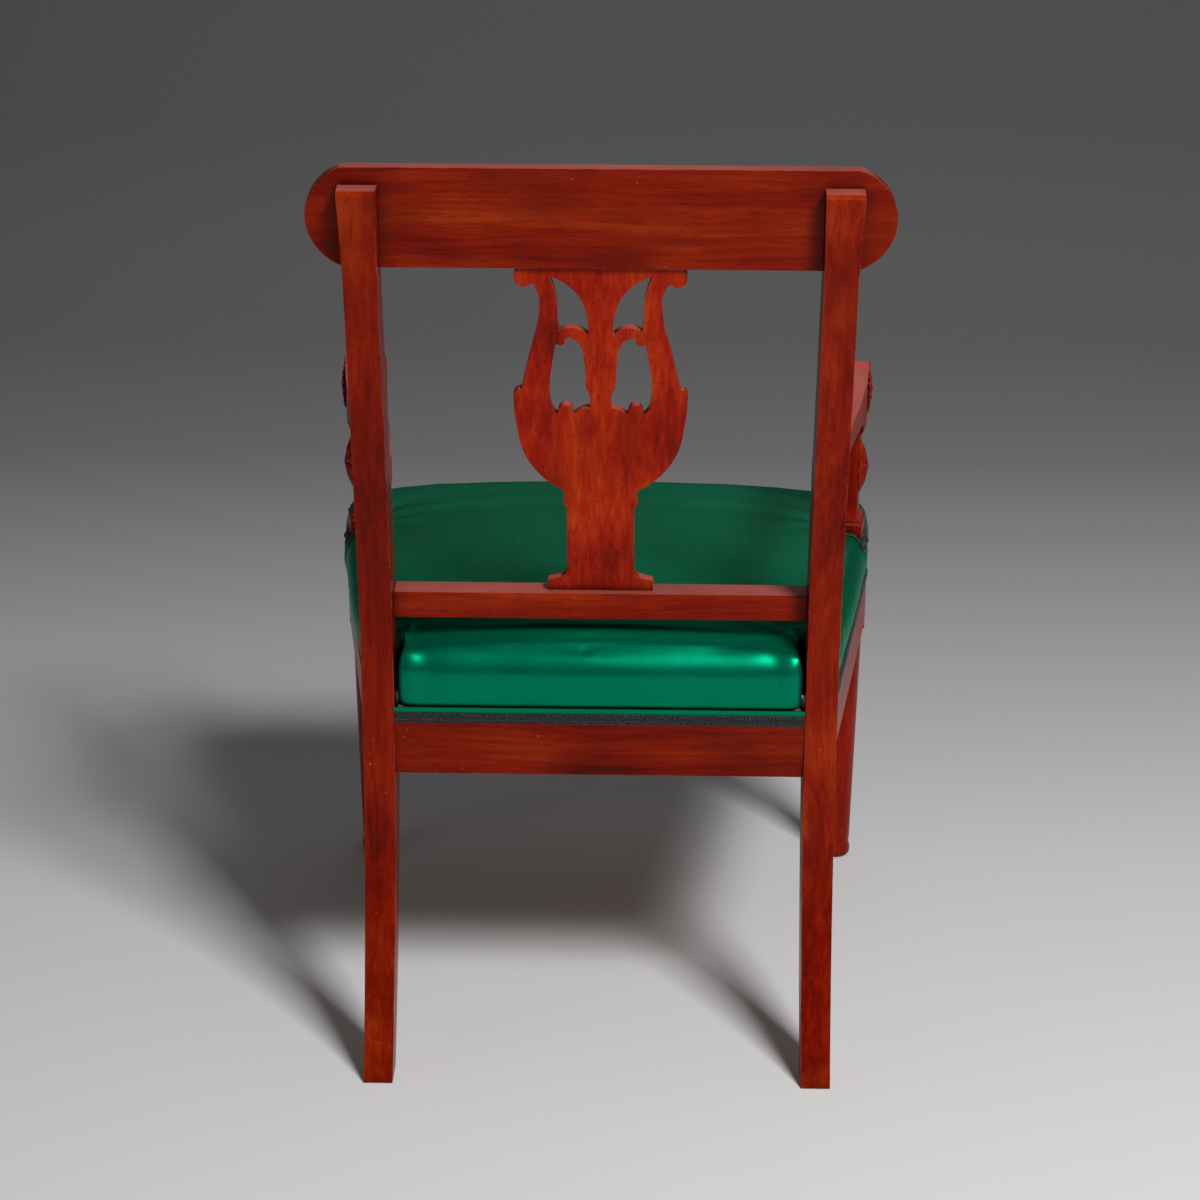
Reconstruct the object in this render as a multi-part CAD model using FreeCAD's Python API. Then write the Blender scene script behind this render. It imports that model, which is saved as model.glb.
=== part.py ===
"""Lyre back armchair in mahogany with an overstuffed seat.

Millimetres. Z is up, the sitter faces -Y, and the sitter's left is +X. The parts are drawn with
y = 0 at the rear face of the back legs where they pass the seat, and moved at the end so that
the origin lies under the middle of the chair.
"""

import FreeCAD, Part
import math
import os

Vec = FreeCAD.Vector

# Back legs, each sawn in one piece with its stile
back_half_width = 226.0
stile_width = 30.5
stile_top_flare = 2.5
foot_width = 28.2
seat_leg_depth = 45.0
foot_depth = 32.0
stile_top_depth = 31.0
foot_sweep = 81.4
bend_height = 385.0
upper_bend_radius = 1000.0
front_bend_radius = 940.0
back_rake = 10.2
arris = 1.2

# Crest rail
crest_base_height = 792.2
crest_height = 93.0
crest_half_length = 258.5
crest_thickness = 15.0
crest_end_radius = 48.7
crest_front_round = 4.0
stile_behind_crest = 18.0
crest_housing = 3.0
stile_below_crest_top = 16.3
stile_top_round = 7.0
dowel_radius = 4.0
dowel_length = 18.0
dowel_pitch = 40.0

# Cross rail of the back
cross_rail_top = 470.6
cross_rail_height = 26.6
cross_rail_thickness = 25.0
cross_rail_setback = 22.0
cross_rail_tilt = 5.0
cross_tenon_shoulder = 4.0

# Lyre splat
splat_thickness = 9.0
splat_in_cross_rail = 8.5
splat_in_crest = 3.0
plinth_half_width = 49.6
bowl_radius = 76.0
bowl_centre = 175.0
bowl_lip = 3.0
ear_radius = 8.6
ear_half_pitch = 68.3
berry_radius = 6.6
berry_half_pitch = 31.8
lyre_drawn_height = 330.7

# Seat frame
rail_bottom = 292.6
rail_top = 355.0
rail_thickness = 24.0
rebate = 2.4
rebate_height = 10.0
front_leg_half_pitch = 265.0
front_leg_square = 43.0
front_leg_axis = 449.0
front_leg_turning_top = 285.0
leg_top_radius = 20.2
leg_waist_radius = 15.6
bun_radius = 17.0
bun_height = 15.0
leg_facets = 32

# Joints
fit = 0.15
tenon_thickness = 9.0
tenon_shoulder = 7.0
tenon_length = 19.0
splat_tenon_thickness = 5.0
splat_tenon_length = 9.0
splat_head_tenon_width = 116.0
splat_foot_tenon_width = 48.0

# Arms and their posts
arm_root_width = 28.0
arm_front_width = 40.0
arm_flare = 49.0
arm_top_rear = 597.0
arm_dip = 1.0
arm_root_thickness = 25.0
volute_centre_y = -352.0
volute_drop = 15.0
volute_radius = 28.0
volute_boss_radius = 19.0
volute_boss_height = 1.5
volute_boss_depth = 6.0
post_y = -327.0
post_width = 26.0
post_root_width = 18.0
post_shaft_width = 16.0
post_depth = 44.0
post_waist_depth = 27.0
post_base_drop = 28.0
post_base_height = 21.0
post_under_volute = 2.0
capital_height = 8.0
ornament_length_share = 0.645
ornament_centre_share = 0.57
ornament_width = 30.0
ornament_relief = 9.0
ornament_facets = 14

# Upholstery
dome_radius = 1700.0
dome_y = -300.0
crown_rise = 103.0
belly_rise = 47.0
belly_rear_side = 5.0
belly_front_side = 3.0
belly_bow = 7.5
belly_front = 7.0
belly_rear = 0.5
belly_corner = 26.0
rim_rows = ((16.0, 2.5), (30.0, 9.0), (76.0, 62.0))
rim_rear_extra = 3.0
frame_corner = 4.0
cover_thickness = 1.4
braid_height = 9.4
braid_thickness = 2.0
stile_gap = 3.0
post_gap = 0.3
strap_width = 50.0
strap_thickness = 1.5
strap_pitch = 97.0
strap_front_y = -377.0
strap_end = 6.0
strap_ramp = 6.0
hessian_thickness = 1.0
hessian_inset = 8.0
tack_head_radius = 3.0
tack_head_height = 0.5
tack_shank_radius = 1.0
tack_length = 9.0
tack_spread = 15.0

# Corner blocks
block_leg = 76.0
block_height = 38.0
block_raise = 8.0
screw_radius = 2.0
screw_head_radius = 4.0
screw_head_height = 2.5
screw_length = 32.0
screw_spread = 34.0

# Heights that follow from the sizes above
rail_show_top = rail_top - rebate_height
belly_height = rail_top + belly_rise
dome_top = rail_top + crown_rise
arm_top_middle = arm_top_rear - arm_dip
volute_centre_z = arm_top_rear - volute_drop
post_top = volute_centre_z - volute_radius - post_under_volute
post_neck = post_top - capital_height
post_base_bottom = dome_top - post_base_drop
post_base_top = post_base_bottom + post_base_height
shaft_length = post_neck - post_base_top
ornament_height = shaft_length * ornament_length_share
ornament_centre_z = post_base_top + shaft_length * ornament_centre_share

# Cutting blocks reach this far, past every face of the chair
clear = 1000.0


def edges_of(start, steps, place):
    """Edges of an outline.

    A step is a point, ('arc', via, end), ('arcs', [via, end, via, end...]) or ('curve', points).
    """
    found = []
    here = start
    for step in steps:
        if step[0] == "arc":
            found.append(Part.Arc(place(*here), place(*step[1]), place(*step[2])).toShape())
            here = step[2]
        elif step[0] == "arcs":
            for via, end in zip(step[1][::2], step[1][1::2]):
                found.append(Part.Arc(place(*here), place(*via), place(*end)).toShape())
                here = end
        elif step[0] == "curve":
            curve = Part.BSplineCurve()
            curve.interpolate([place(*point) for point in [here] + step[1]])
            found.append(curve.toShape())
            here = step[1][-1]
        else:
            found.append(Part.makeLine(place(*here), place(*step)))
            here = step
    return found


def prism(edges, direction):
    return Part.Face(Part.Wire(edges)).extrude(direction)


def polygon_prism(points, direction):
    return Part.Face(Part.makePolygon(points + points[:1])).extrude(direction)


def grown_box(x0, x1, y0, y1, z0, z1, grow=0.0):
    return Part.makeBox(
        x1 - x0 + 2 * grow,
        y1 - y0 + 2 * grow,
        z1 - z0 + 2 * grow,
        Vec(x0 - grow, y0 - grow, z0 - grow),
    )


def faceted(rings):
    """Solid with flat faces between rings of equally many points, closed at both ends."""
    outlines = [rings[0], rings[-1]]
    for low, high in zip(rings, rings[1:]):
        for a in range(len(low)):
            b = (a + 1) % len(low)
            outlines.append([low[a], low[b], high[b], high[a]])
    faces = [Part.Face(Part.makePolygon(outline + outline[:1])) for outline in outlines]
    shell = Part.makeShell(faces)
    shell.sewShape()
    return Part.makeSolid(shell)


def ring(sides, radius, centre, way):
    """Corners of a regular polygon square to a direction."""
    across = way.cross(Vec(0, 0, 1)) if abs(way.z) < 0.9 else Vec(1, 0, 0)
    across.normalize()
    other = way.cross(across)
    turns = [2 * math.pi * (number + 0.5) / sides for number in range(sides)]
    return [
        centre + across * (radius * math.cos(turn)) + other * (radius * math.sin(turn)) for turn in turns
    ]


def faceted_bar(sides, radius, start, way, length, end_radius=None):
    """Straight or tapering bar on a regular polygon."""
    far = radius if end_radius is None else end_radius
    return faceted([ring(sides, radius, start, way), ring(sides, far, start + way * length, way)])


def mirrored(shape):
    return shape.mirror(Vec(0, 0, 0), Vec(1, 0, 0))


def rounded(shape, radius, wanted):
    """Fillets the edges that the test picks."""
    edges = [edge for edge in shape.Edges if wanted(edge)]
    return shape.makeFillet(radius, edges)


class Plane:
    """A leaning plane of the back: 'up' along the lean, 'inward' through the thickness."""

    def __init__(self, y, z, lean):
        self.base = Vec(0, y, z)
        self.up = Vec(0, math.sin(lean), math.cos(lean))
        self.inward = Vec(0, -math.cos(lean), math.sin(lean))

    def at(self, x, up, inward=0.0):
        return self.base + Vec(x, 0, 0) + self.up * up + self.inward * inward

    def board(self, edges_start, steps, near, far):
        edges = edges_of(edges_start, steps, lambda x, up: self.at(x, up, near))
        return prism(edges, self.inward * (far - near))

    def block(self, x0, x1, up0, up1, in0, in1, grow=0.0):
        corners = [
            self.at(x0 - grow, up0 - grow, in0 - grow),
            self.at(x1 + grow, up0 - grow, in0 - grow),
            self.at(x1 + grow, up1 + grow, in0 - grow),
            self.at(x0 - grow, up1 + grow, in0 - grow),
        ]
        return polygon_prism(corners, self.inward * (in1 - in0 + 2 * grow))


# Rear face of the back leg in side view: a sabre arc, a second arc, then the straight rake
rake = math.radians(back_rake)
sweep_radius = (bend_height**2 + foot_sweep**2) / (2 * foot_sweep)
rake_start_z = bend_height + upper_bend_radius * math.sin(rake)
rake_start_y = upper_bend_radius * (1 - math.cos(rake))


def rear_face(z):
    if z < bend_height:
        return sweep_radius - math.sqrt(sweep_radius**2 - (bend_height - z) ** 2)
    if z < rake_start_z:
        return upper_bend_radius - math.sqrt(upper_bend_radius**2 - (z - bend_height) ** 2)
    return rake_start_y + (z - rake_start_z) * math.tan(rake)


crest_plane = Plane(rear_face(crest_base_height), crest_base_height, rake)
stile_top_up = crest_height - stile_below_crest_top
crest_rear = stile_behind_crest
crest_front = stile_behind_crest + crest_thickness

# Front face of the back leg: a sabre arc, a second arc, then a straight that meets the top depth
seat_front_y = -seat_leg_depth
foot_front_y = foot_sweep - foot_depth
front_rise = foot_front_y - seat_front_y
front_sweep_radius = (bend_height**2 + front_rise**2) / (2 * front_rise)


def front_tangent():
    """Point where the straight part of the front face leaves its arc."""
    top = crest_plane.at(0, stile_top_up, stile_top_depth)
    centre_y = seat_front_y + front_bend_radius
    away_y = top.y - centre_y
    away_z = top.z - bend_height
    reach = math.hypot(away_y, away_z)
    turn = math.atan2(away_z, away_y) + math.acos(front_bend_radius / reach)
    return centre_y + front_bend_radius * math.cos(turn), bend_height + front_bend_radius * math.sin(turn)


front_rake_y, front_rake_z = front_tangent()


def front_face(z):
    if z < bend_height:
        return seat_front_y + front_sweep_radius - math.sqrt(front_sweep_radius**2 - (bend_height - z) ** 2)
    return seat_front_y + front_bend_radius - math.sqrt(front_bend_radius**2 - (z - bend_height) ** 2)


def arc_point(face, low, high):
    middle = (low + high) / 2
    return (face(middle), middle)


def rear_leg():
    """Left leg and stile: side outline crossed with the tapering front outline, top lapped for the crest."""
    top_rear = crest_plane.at(0, stile_top_up)
    top_front = crest_plane.at(0, stile_top_up, stile_top_depth)
    steps = [
        ("arc", arc_point(rear_face, 0, bend_height), (0.0, bend_height)),
        ("arc", arc_point(rear_face, bend_height, rake_start_z), (rake_start_y, rake_start_z)),
        (top_rear.y, top_rear.z),
        (top_front.y, top_front.z),
        (front_rake_y, front_rake_z),
        ("arc", arc_point(front_face, bend_height, front_rake_z), (seat_front_y, bend_height)),
        ("arc", arc_point(front_face, 0, bend_height), (foot_front_y, 0.0)),
        (foot_sweep, 0.0),
    ]
    side = prism(edges_of((foot_sweep, 0.0), steps, lambda y, z: Vec(0, y, z)), Vec(clear, 0, 0))
    inner = back_half_width - stile_width
    front_outline = [
        (back_half_width, 0),
        (back_half_width, crest_base_height),
        (back_half_width + stile_top_flare, top_rear.z),
        (back_half_width + stile_top_flare, clear),
        (inner - stile_top_flare / 2, clear),
        (inner - stile_top_flare / 2, top_rear.z),
        (inner, crest_base_height),
        (inner, rail_bottom),
        (back_half_width - foot_width, 0),
    ]
    front = polygon_prism([Vec(x, -clear, z) for x, z in front_outline], Vec(0, 2 * clear, 0))
    leg = side.common(front)
    leg = leg.cut(crest_plane.block(0, clear, 0, crest_height, crest_rear + crest_housing, clear))
    top_edge_z = top_rear.z
    leg = rounded(
        leg,
        stile_top_round,
        lambda e: abs(e.BoundBox.ZMin - top_edge_z) < 0.5
        and e.BoundBox.XLength > stile_width / 2
        and e.BoundBox.YLength < 1,
    )
    return leg


def crest_outline(inset=0.0):
    middle = crest_height / 2
    half = middle - inset
    end_radius = crest_end_radius - inset
    tip = crest_half_length - inset
    flat_end = crest_half_length - crest_end_radius + math.sqrt(end_radius**2 - half**2)
    low = inset
    high = crest_height - inset
    start = (-flat_end, low)
    steps = [
        (flat_end, low),
        ("arc", (tip, middle), (flat_end, high)),
        (-flat_end, high),
        ("arc", (-tip, middle), (-flat_end, low)),
    ]
    return start, steps


def crest_rail():
    """Board with round ends, its front edge eased in two bands."""
    shoulder = crest_front - crest_front_round
    start, steps = crest_outline()
    crest = crest_plane.board(start, steps, crest_rear, shoulder)
    rows = []
    for inset, rise in ((0.0, 0.0), (0.3, 0.6), (1.0, 1.0)):
        start, steps = crest_outline(inset * crest_front_round)
        depth = shoulder + rise * crest_front_round
        rows.append(Part.Wire(edges_of(start, steps, lambda x, up: crest_plane.at(x, up, depth))))
    return crest.fuse(Part.makeLoft(rows, True, True)).removeSplitter()


cross_plane = Plane(
    rear_face(cross_rail_top) - cross_rail_setback, cross_rail_top, math.radians(cross_rail_tilt)
)
inner_face = back_half_width - stile_width


def cross_rail():
    rail = cross_plane.block(-inner_face, inner_face, -cross_rail_height, 0, 0, cross_rail_thickness)
    rail = rounded(rail, arris, lambda e: e.BoundBox.XLength > inner_face)
    return rail


def cross_rail_tenons(grow=0.0):
    middle = cross_rail_thickness / 2
    found = []
    for side in (-1, 1):
        ends = sorted((side * (inner_face - 1), side * (inner_face + tenon_length)))
        found.append(
            cross_plane.block(
                ends[0],
                ends[1],
                -cross_rail_height + cross_tenon_shoulder,
                -cross_tenon_shoulder,
                middle - tenon_thickness / 2,
                middle + tenon_thickness / 2,
                grow,
            )
        )
    return found


# The splat stands between the cross rail's top and the crest's underside, on a lean of its own
splat_foot = cross_plane.at(0, 0, splat_in_cross_rail)
splat_head = crest_plane.at(0, 0, crest_rear + splat_in_crest)
splat_lean = math.atan2(splat_head.y - splat_foot.y, splat_head.z - splat_foot.z)
splat_height = (splat_head - splat_foot).Length
splat_plane = Plane(splat_foot.y, splat_foot.z, splat_lean)
bowl_half_width = bowl_radius + bowl_lip


def lyre_at(x, up, inward=0.0):
    """Point of the lyre's drawing, stretched to the height between the two rails."""
    return splat_plane.at(x, up * splat_height / lyre_drawn_height, inward)


def ear_hook():
    """Points of the scrolled ear: where the arm meets it, its lowest, outermost and top points."""
    centre = lyre_drawn_height - 10.0
    turn = math.radians(40)
    join = (ear_half_pitch - ear_radius * math.cos(turn), centre - ear_radius * math.sin(turn) * 0.9)
    low = (ear_half_pitch - 1.0, centre - ear_radius)
    out = (ear_half_pitch + ear_radius, centre)
    top = (ear_half_pitch + ear_radius * 0.45, lyre_drawn_height - 0.5)
    return join, low, out, top


def lyre_half():
    """Right-hand half of the lyre's outer edge, from the foot to the crest."""
    join, low, out, top = ear_hook()
    neck_low = 86.0
    neck_high = 107.0
    neck_half = math.sqrt(bowl_radius**2 - (bowl_centre - neck_high) ** 2)
    slant = math.radians(35)
    lip = bowl_centre - bowl_radius * math.sin(math.radians(4))
    steps = [
        (plinth_half_width, 10.5),
        (38.0, 13.6),
        ("arc", (33.2, 17.0), (31.4, 24.0)),
        (31.4, neck_low),
        ("arc", (32.4, neck_low + 4.0), (34.2, neck_low + 6.5)),
        (neck_half, neck_high),
        (
            "arc",
            (bowl_radius * math.cos(slant), bowl_centre - bowl_radius * math.sin(slant)),
            (bowl_radius * math.cos(math.radians(4)), lip),
        ),
        ("arc", (bowl_half_width - 0.8, 186.0), (bowl_half_width, 202.0)),
        ("arc", (bowl_half_width - 1.0, 208.0), (bowl_half_width - 4.2, 211.0)),
        ("arc", (bowl_half_width - 6.6, 211.4), (bowl_half_width - 7.8, 213.4)),
        ("arcs", [(67.0, 233.0), (59.6, 262.0), (55.2, 284.0), (54.6, 298.0), (56.6, 307.6), join]),
        ("arc", low, out),
        ("arc", (ear_half_pitch + ear_radius * 0.9, lyre_drawn_height - 5.0), top),
    ]
    return (plinth_half_width, 0.0), steps


def splat_upper_window():
    start = (45.4, 322.0)
    steps = [
        ("arcs", [(41.6, 311.0), (38.9, 299.0), (38.4, 284.0), (37.2, 269.0)]),
        ("arc", (26.0, 272.4), (11.6, 265.8)),
        ("arcs", [(11.3, 275.0), (13.6, 289.0), (19.6, 303.0), (29.0, 313.0), (36.6, 318.4), (45.4, 322.0)]),
    ]
    return start, steps


def splat_lower_window():
    berry_low = berry_half_pitch - berry_radius
    berry_far = berry_half_pitch + berry_radius
    start = (40.2, 255.8)
    steps = [
        ("arcs", [(42.8, 242.0), (45.6, 222.0), (46.4, 208.0), (44.8, 194.5), (42.7, 189.6), (39.5, 186.0)]),
        (berry_far, 187.6),
        ("arc", (berry_half_pitch, 195.4), (berry_low, 187.6)),
        (24.2, 186.2),
        ("arc", (17.5, 190.6), (9.7, 192.8)),
        (9.7, 202.0),
        ("arc", (10.4, 206.5), (13.4, 211.4)),
        ("arcs", [(14.0, 230.0), (15.6, 247.0), (19.5, 256.8), (28.4, 262.6)]),
        ("arc", (31.0, 261.8), (31.6, 259.0)),
        ("arc", (34.4, 255.2), (37.6, 255.4)),
        (40.2, 255.8),
    ]
    return start, steps


def lyre_splat():
    def half(sign):
        def place(x, up):
            return lyre_at(sign * x, up)

        start, steps = lyre_half()
        found = edges_of(start, steps, place)
        _, _, _, top = ear_hook()
        return found, place(*top)

    left, left_top = half(1)
    right, right_top = half(-1)
    foot = Part.makeLine(splat_plane.at(-plinth_half_width, 0), splat_plane.at(plinth_half_width, 0))
    head = Part.makeLine(left_top, right_top)
    wire = Part.Wire(Part.sortEdges(left + right + [foot, head])[0])
    splat = Part.Face(wire).extrude(splat_plane.inward * splat_thickness)
    for window in (splat_upper_window, splat_lower_window):
        for sign in (-1, 1):
            start, steps = window()
            edges = edges_of(start, steps, lambda x, up: lyre_at(sign * x, up, -splat_thickness))
            splat = splat.cut(prism(edges, splat_plane.inward * (3 * splat_thickness)))
    above = crest_plane.block(-clear, clear, 0, clear, -clear, clear)
    below = cross_plane.block(-clear, clear, -clear, 0, -clear, clear)
    return splat.cut(above).cut(below)


def splat_tenons(grow=0.0):
    near = (splat_thickness - splat_tenon_thickness) / 2
    far = near + splat_tenon_thickness
    root = cross_tenon_shoulder
    half = splat_head_tenon_width / 2
    head = splat_plane.block(
        -half, half, splat_height - root, splat_height + splat_tenon_length, near, far, grow
    )
    half = splat_foot_tenon_width / 2
    foot = splat_plane.block(-half, half, -splat_tenon_length, root, near, far, grow)
    return [head, foot]


def crest_dowels(grow=0.0):
    """Two dowels at each stile, through the joint between its lapped top and the crest."""
    found = []
    middle = back_half_width - stile_width / 2
    joint = crest_rear + crest_housing
    centre_up = stile_top_up / 2
    for sign in (-1, 1):
        for step in (-0.5, 0.5):
            start = crest_plane.at(sign * middle, centre_up + step * dowel_pitch, joint - dowel_length / 2 - grow)
            found.append(
                Part.makeCylinder(
                    dowel_radius + grow, dowel_length + 2 * grow, start, crest_plane.inward
                )
            )
    return found


# Seat frame: the side rails run from the back leg's outer front corner to the front leg's square
side_start_y = front_face((rail_bottom + rail_top) / 2)
front_square_half = front_leg_square / 2
side_end_x = front_leg_half_pitch + front_square_half
side_end_y = -front_leg_axis + front_square_half
frame_front_y = -front_leg_axis - front_square_half
side_direction = Vec(side_end_x - back_half_width, side_end_y - side_start_y, 0).normalize()
side_outward = Vec(-side_direction.y, side_direction.x, 0)


def side_point(y, depth=0.0):
    """Point on the side rail's outer face at y, moved in by depth."""
    reach = (y - side_start_y) / side_direction.y
    point = Vec(back_half_width, side_start_y, 0) + side_direction * reach
    return point - side_outward * depth


def side_slab(near, far, low, high, start_y, end_y):
    """Part of the side rail's length, between two depths from its outer face."""
    corners = [
        side_point(start_y, near),
        side_point(end_y, near),
        side_point(end_y, far),
        side_point(start_y, far),
    ]
    corners = [Vec(corner.x, corner.y, low) for corner in corners]
    return polygon_prism(corners, Vec(0, 0, high - low))


def square_slab(near, far, low, high, start_y, end_y):
    """The same, with its ends square to the rail's length."""
    start = side_point(start_y, (near + far) / 2)
    end = side_point(end_y, (near + far) / 2)
    half = side_outward * ((far - near) / 2)
    corners = [start + half, end + half, end - half, start - half]
    corners = [Vec(corner.x, corner.y, low) for corner in corners]
    return polygon_prism(corners, Vec(0, 0, high - low))


def side_rail():
    rail = side_slab(0, rail_thickness, rail_bottom, rail_top, -seat_leg_depth / 3, side_end_y)
    rail = rail.cut(side_slab(-rebate, rebate, rail_show_top, clear, 0, side_end_y - rebate))
    beyond = grown_box(0, clear, -clear, side_end_y, 0, clear)
    return rail.cut(rear_leg()).cut(beyond)


def tenon_heights():
    return rail_bottom + tenon_shoulder, rail_top - tenon_shoulder - 4


def side_tenons(grow=0.0):
    """Rear and front tenons of the side rail, in line with the rail."""
    low, high = tenon_heights()
    middle = rail_thickness / 2
    near = middle - tenon_thickness / 2 - grow
    far = middle + tenon_thickness / 2 + grow
    rear = square_slab(
        near, far, low - grow, high + grow, side_start_y + tenon_length + grow, side_start_y - 10
    )
    front = square_slab(
        near, far, low - grow, high + grow, side_end_y + 5, side_end_y - tenon_length - grow
    )
    return [rear, front]


def rear_rail():
    rail = grown_box(-inner_face, inner_face, -rail_thickness, 0, rail_bottom, rail_top)
    groove = grown_box(-clear, clear, -rebate, clear, rail_show_top, clear)
    return rail.cut(groove)


front_inner = front_leg_half_pitch - front_square_half


def front_rail():
    rail = grown_box(
        -front_inner, front_inner, frame_front_y, frame_front_y + rail_thickness, rail_bottom, rail_top
    )
    groove = grown_box(-clear, clear, -clear, frame_front_y + rebate, rail_show_top, clear)
    return rail.cut(groove)


def rail_tenons(half_length, near_y, grow=0.0):
    """Tenons at both ends of a rail that lies across the chair."""
    low, high = tenon_heights()
    middle = near_y + rail_thickness / 2
    found = []
    for side in (-1, 1):
        ends = sorted((side * (half_length - 1), side * (half_length + tenon_length)))
        found.append(
            grown_box(
                ends[0],
                ends[1],
                middle - tenon_thickness / 2,
                middle + tenon_thickness / 2,
                low,
                high,
                grow,
            )
        )
    return found


def front_leg():
    """Turned leg below a square that takes the rails."""
    centre = Vec(front_leg_half_pitch, -front_leg_axis, 0)
    top = front_leg_turning_top
    waist = bun_height + 4.0
    neck = front_square_half - 0.4
    profile = [
        (bun_radius - 3.0, 0.0),
        (bun_radius - 0.6, bun_height * 0.2),
        (bun_radius, bun_height * 0.45),
        (bun_radius - 0.7, bun_height * 0.75),
        (leg_waist_radius - 0.6, bun_height),
        (leg_waist_radius - 1.0, bun_height + 1.6),
        (leg_waist_radius, waist),
        (leg_top_radius, top - 14),
        (leg_top_radius - 0.4, top - 10.5),
        (leg_top_radius - 1.6, top - 5),
        (neck, top - 4),
        (neck, top + 2),
    ]
    up = Vec(0, 0, 1)
    turned = faceted([ring(leg_facets, radius, centre + up * height, up) for radius, height in profile])
    half = front_square_half
    square = grown_box(
        front_leg_half_pitch - half,
        front_leg_half_pitch + half,
        -front_leg_axis - half,
        -front_leg_axis + half,
        top,
        rail_top,
    )
    side_rebate = grown_box(side_end_x - rebate, clear, -clear, clear, rail_show_top, clear)
    front_rebate = grown_box(-clear, clear, -clear, frame_front_y + rebate, rail_show_top, clear)
    square = square.cut(side_rebate).cut(front_rebate)
    leg = turned.fuse(square).removeSplitter()

    def outer_corner(edge):
        box = edge.BoundBox
        outside = box.XMin > front_leg_half_pitch + half - rebate - 0.1
        return outside and box.YMax < frame_front_y + rebate + 0.1 and box.ZLength > 5

    return rounded(leg, frame_corner, outer_corner)


# Arm posts stand on the side rails, in line with them
post_centre = side_point(post_y, rail_thickness / 2)


def post_at(along, across, z):
    """along runs forward down the rail, across runs outward."""
    point = post_centre + side_direction * along + side_outward * across
    return Vec(point.x, point.y, z)


def arm_post():
    half = post_depth / 2
    waist = post_waist_depth / 2
    root = half - 3
    profile = [
        (root, post_base_bottom),
        (half, post_base_bottom + 1.5),
        (half, post_base_top - 6),
        (half - 2.5, post_base_top - 4.5),
        (half - 2.5, post_base_top - 1.5),
        ("arc", (waist + 2.4, post_base_top + 6), (waist + 1, post_base_top + 20)),
        ("arc", (waist, (post_base_top + post_neck) / 2), (waist + 2.2, post_neck - 14)),
        ("arc", (waist + 3.6, post_neck - 6), (waist + 5.6, post_neck - 1.5)),
        (waist + 5.6, post_neck + 1.5),
        (waist + 7.0, post_neck + 3),
        (waist + 7.0, post_top),
    ]

    def flipped(items):
        """The same outline on the other side of the post, from the top down."""
        points = [(root, rail_top)]
        back = []
        for item in items:
            end = item[2] if item[0] == "arc" else item
            back.append((points[-1], item))
            points.append(end)
        steps = []
        for start, item in reversed(back):
            if item[0] == "arc":
                steps.append(("arc", (-item[1][0], item[1][1]), (-start[0], start[1])))
            else:
                steps.append((-start[0], start[1]))
        return steps

    steps = profile + [(-(waist + 7.0), post_top)] + flipped(profile) + [(root, rail_top)]
    side = prism(
        edges_of((root, rail_top), steps, lambda a, z: post_at(a, -post_width, z)),
        side_outward * (2 * post_width),
    )
    outer = post_width / 2
    inner = -post_width / 2
    shaft_outer = outer - (post_width - post_shaft_width) * 0.6
    shaft_inner = inner + (post_width - post_shaft_width) * 0.4
    front_points = [
        (-post_root_width / 2, rail_top - 5),
        (post_root_width / 2, rail_top - 5),
        (post_root_width / 2, post_base_bottom),
        (outer - 1, post_base_bottom),
        (outer, post_base_bottom + 1.5),
        (outer, post_base_top - 6),
        (outer - 2, post_base_top - 4.5),
        (outer - 2, post_base_top - 1.5),
        (shaft_outer, post_base_top + 1),
        (shaft_outer, post_neck - 2),
        (outer - 3, post_neck + 1.5),
        (outer - 2, post_neck + 3),
        (outer - 2, post_top + 5),
        (inner + 2, post_top + 5),
        (inner + 2, post_neck + 3),
        (inner + 3, post_neck + 1.5),
        (shaft_inner, post_neck - 2),
        (shaft_inner, post_base_top + 1),
        (inner + 2, post_base_top - 1.5),
        (inner + 2, post_base_top - 4.5),
        (inner, post_base_top - 6),
        (inner, post_base_bottom + 1.5),
        (inner + 1, post_base_bottom),
        (-post_root_width / 2, post_base_bottom),
    ]
    front = polygon_prism(
        [post_at(-post_depth, n, z) for n, z in front_points], side_direction * (2 * post_depth)
    )
    return side.common(front)


def post_slab(along, inner, outer, low, high):
    corners = [
        post_at(-along, inner, low),
        post_at(along, inner, low),
        post_at(along, outer, low),
        post_at(-along, outer, low),
    ]
    return polygon_prism(corners, Vec(0, 0, high - low))


def post_block(along, across, low, high, grow=0.0):
    return post_slab(along + grow, -across - grow, across + grow, low - grow, high + grow)


def post_tenons(grow=0.0):
    foot = post_block(post_waist_depth / 2, tenon_thickness / 2, rail_top - 18, rail_top + 1, grow)
    head = post_block(post_waist_depth / 2 - 3, tenon_thickness / 2, post_top - 1, post_top + 16, grow)
    return [foot, head]


def arm_ornament():
    """Oval carved boss on the outer face of the post's shaft."""
    face_across = post_width / 2 - (post_width - post_shaft_width) * 0.6
    rows = []
    for share, swell in ((0.0, 1.0), (0.45, 0.92), (0.8, 0.66), (1.0, 0.28)):
        oval = []
        for number in range(ornament_facets):
            turn = 2 * math.pi * number / ornament_facets
            along = ornament_width / 2 * swell * math.sin(turn)
            height = ornament_centre_z + ornament_height / 2 * swell * math.cos(turn)
            oval.append(post_at(along, face_across + ornament_relief * share, height))
        rows.append(oval)
    return faceted(rows)


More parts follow.
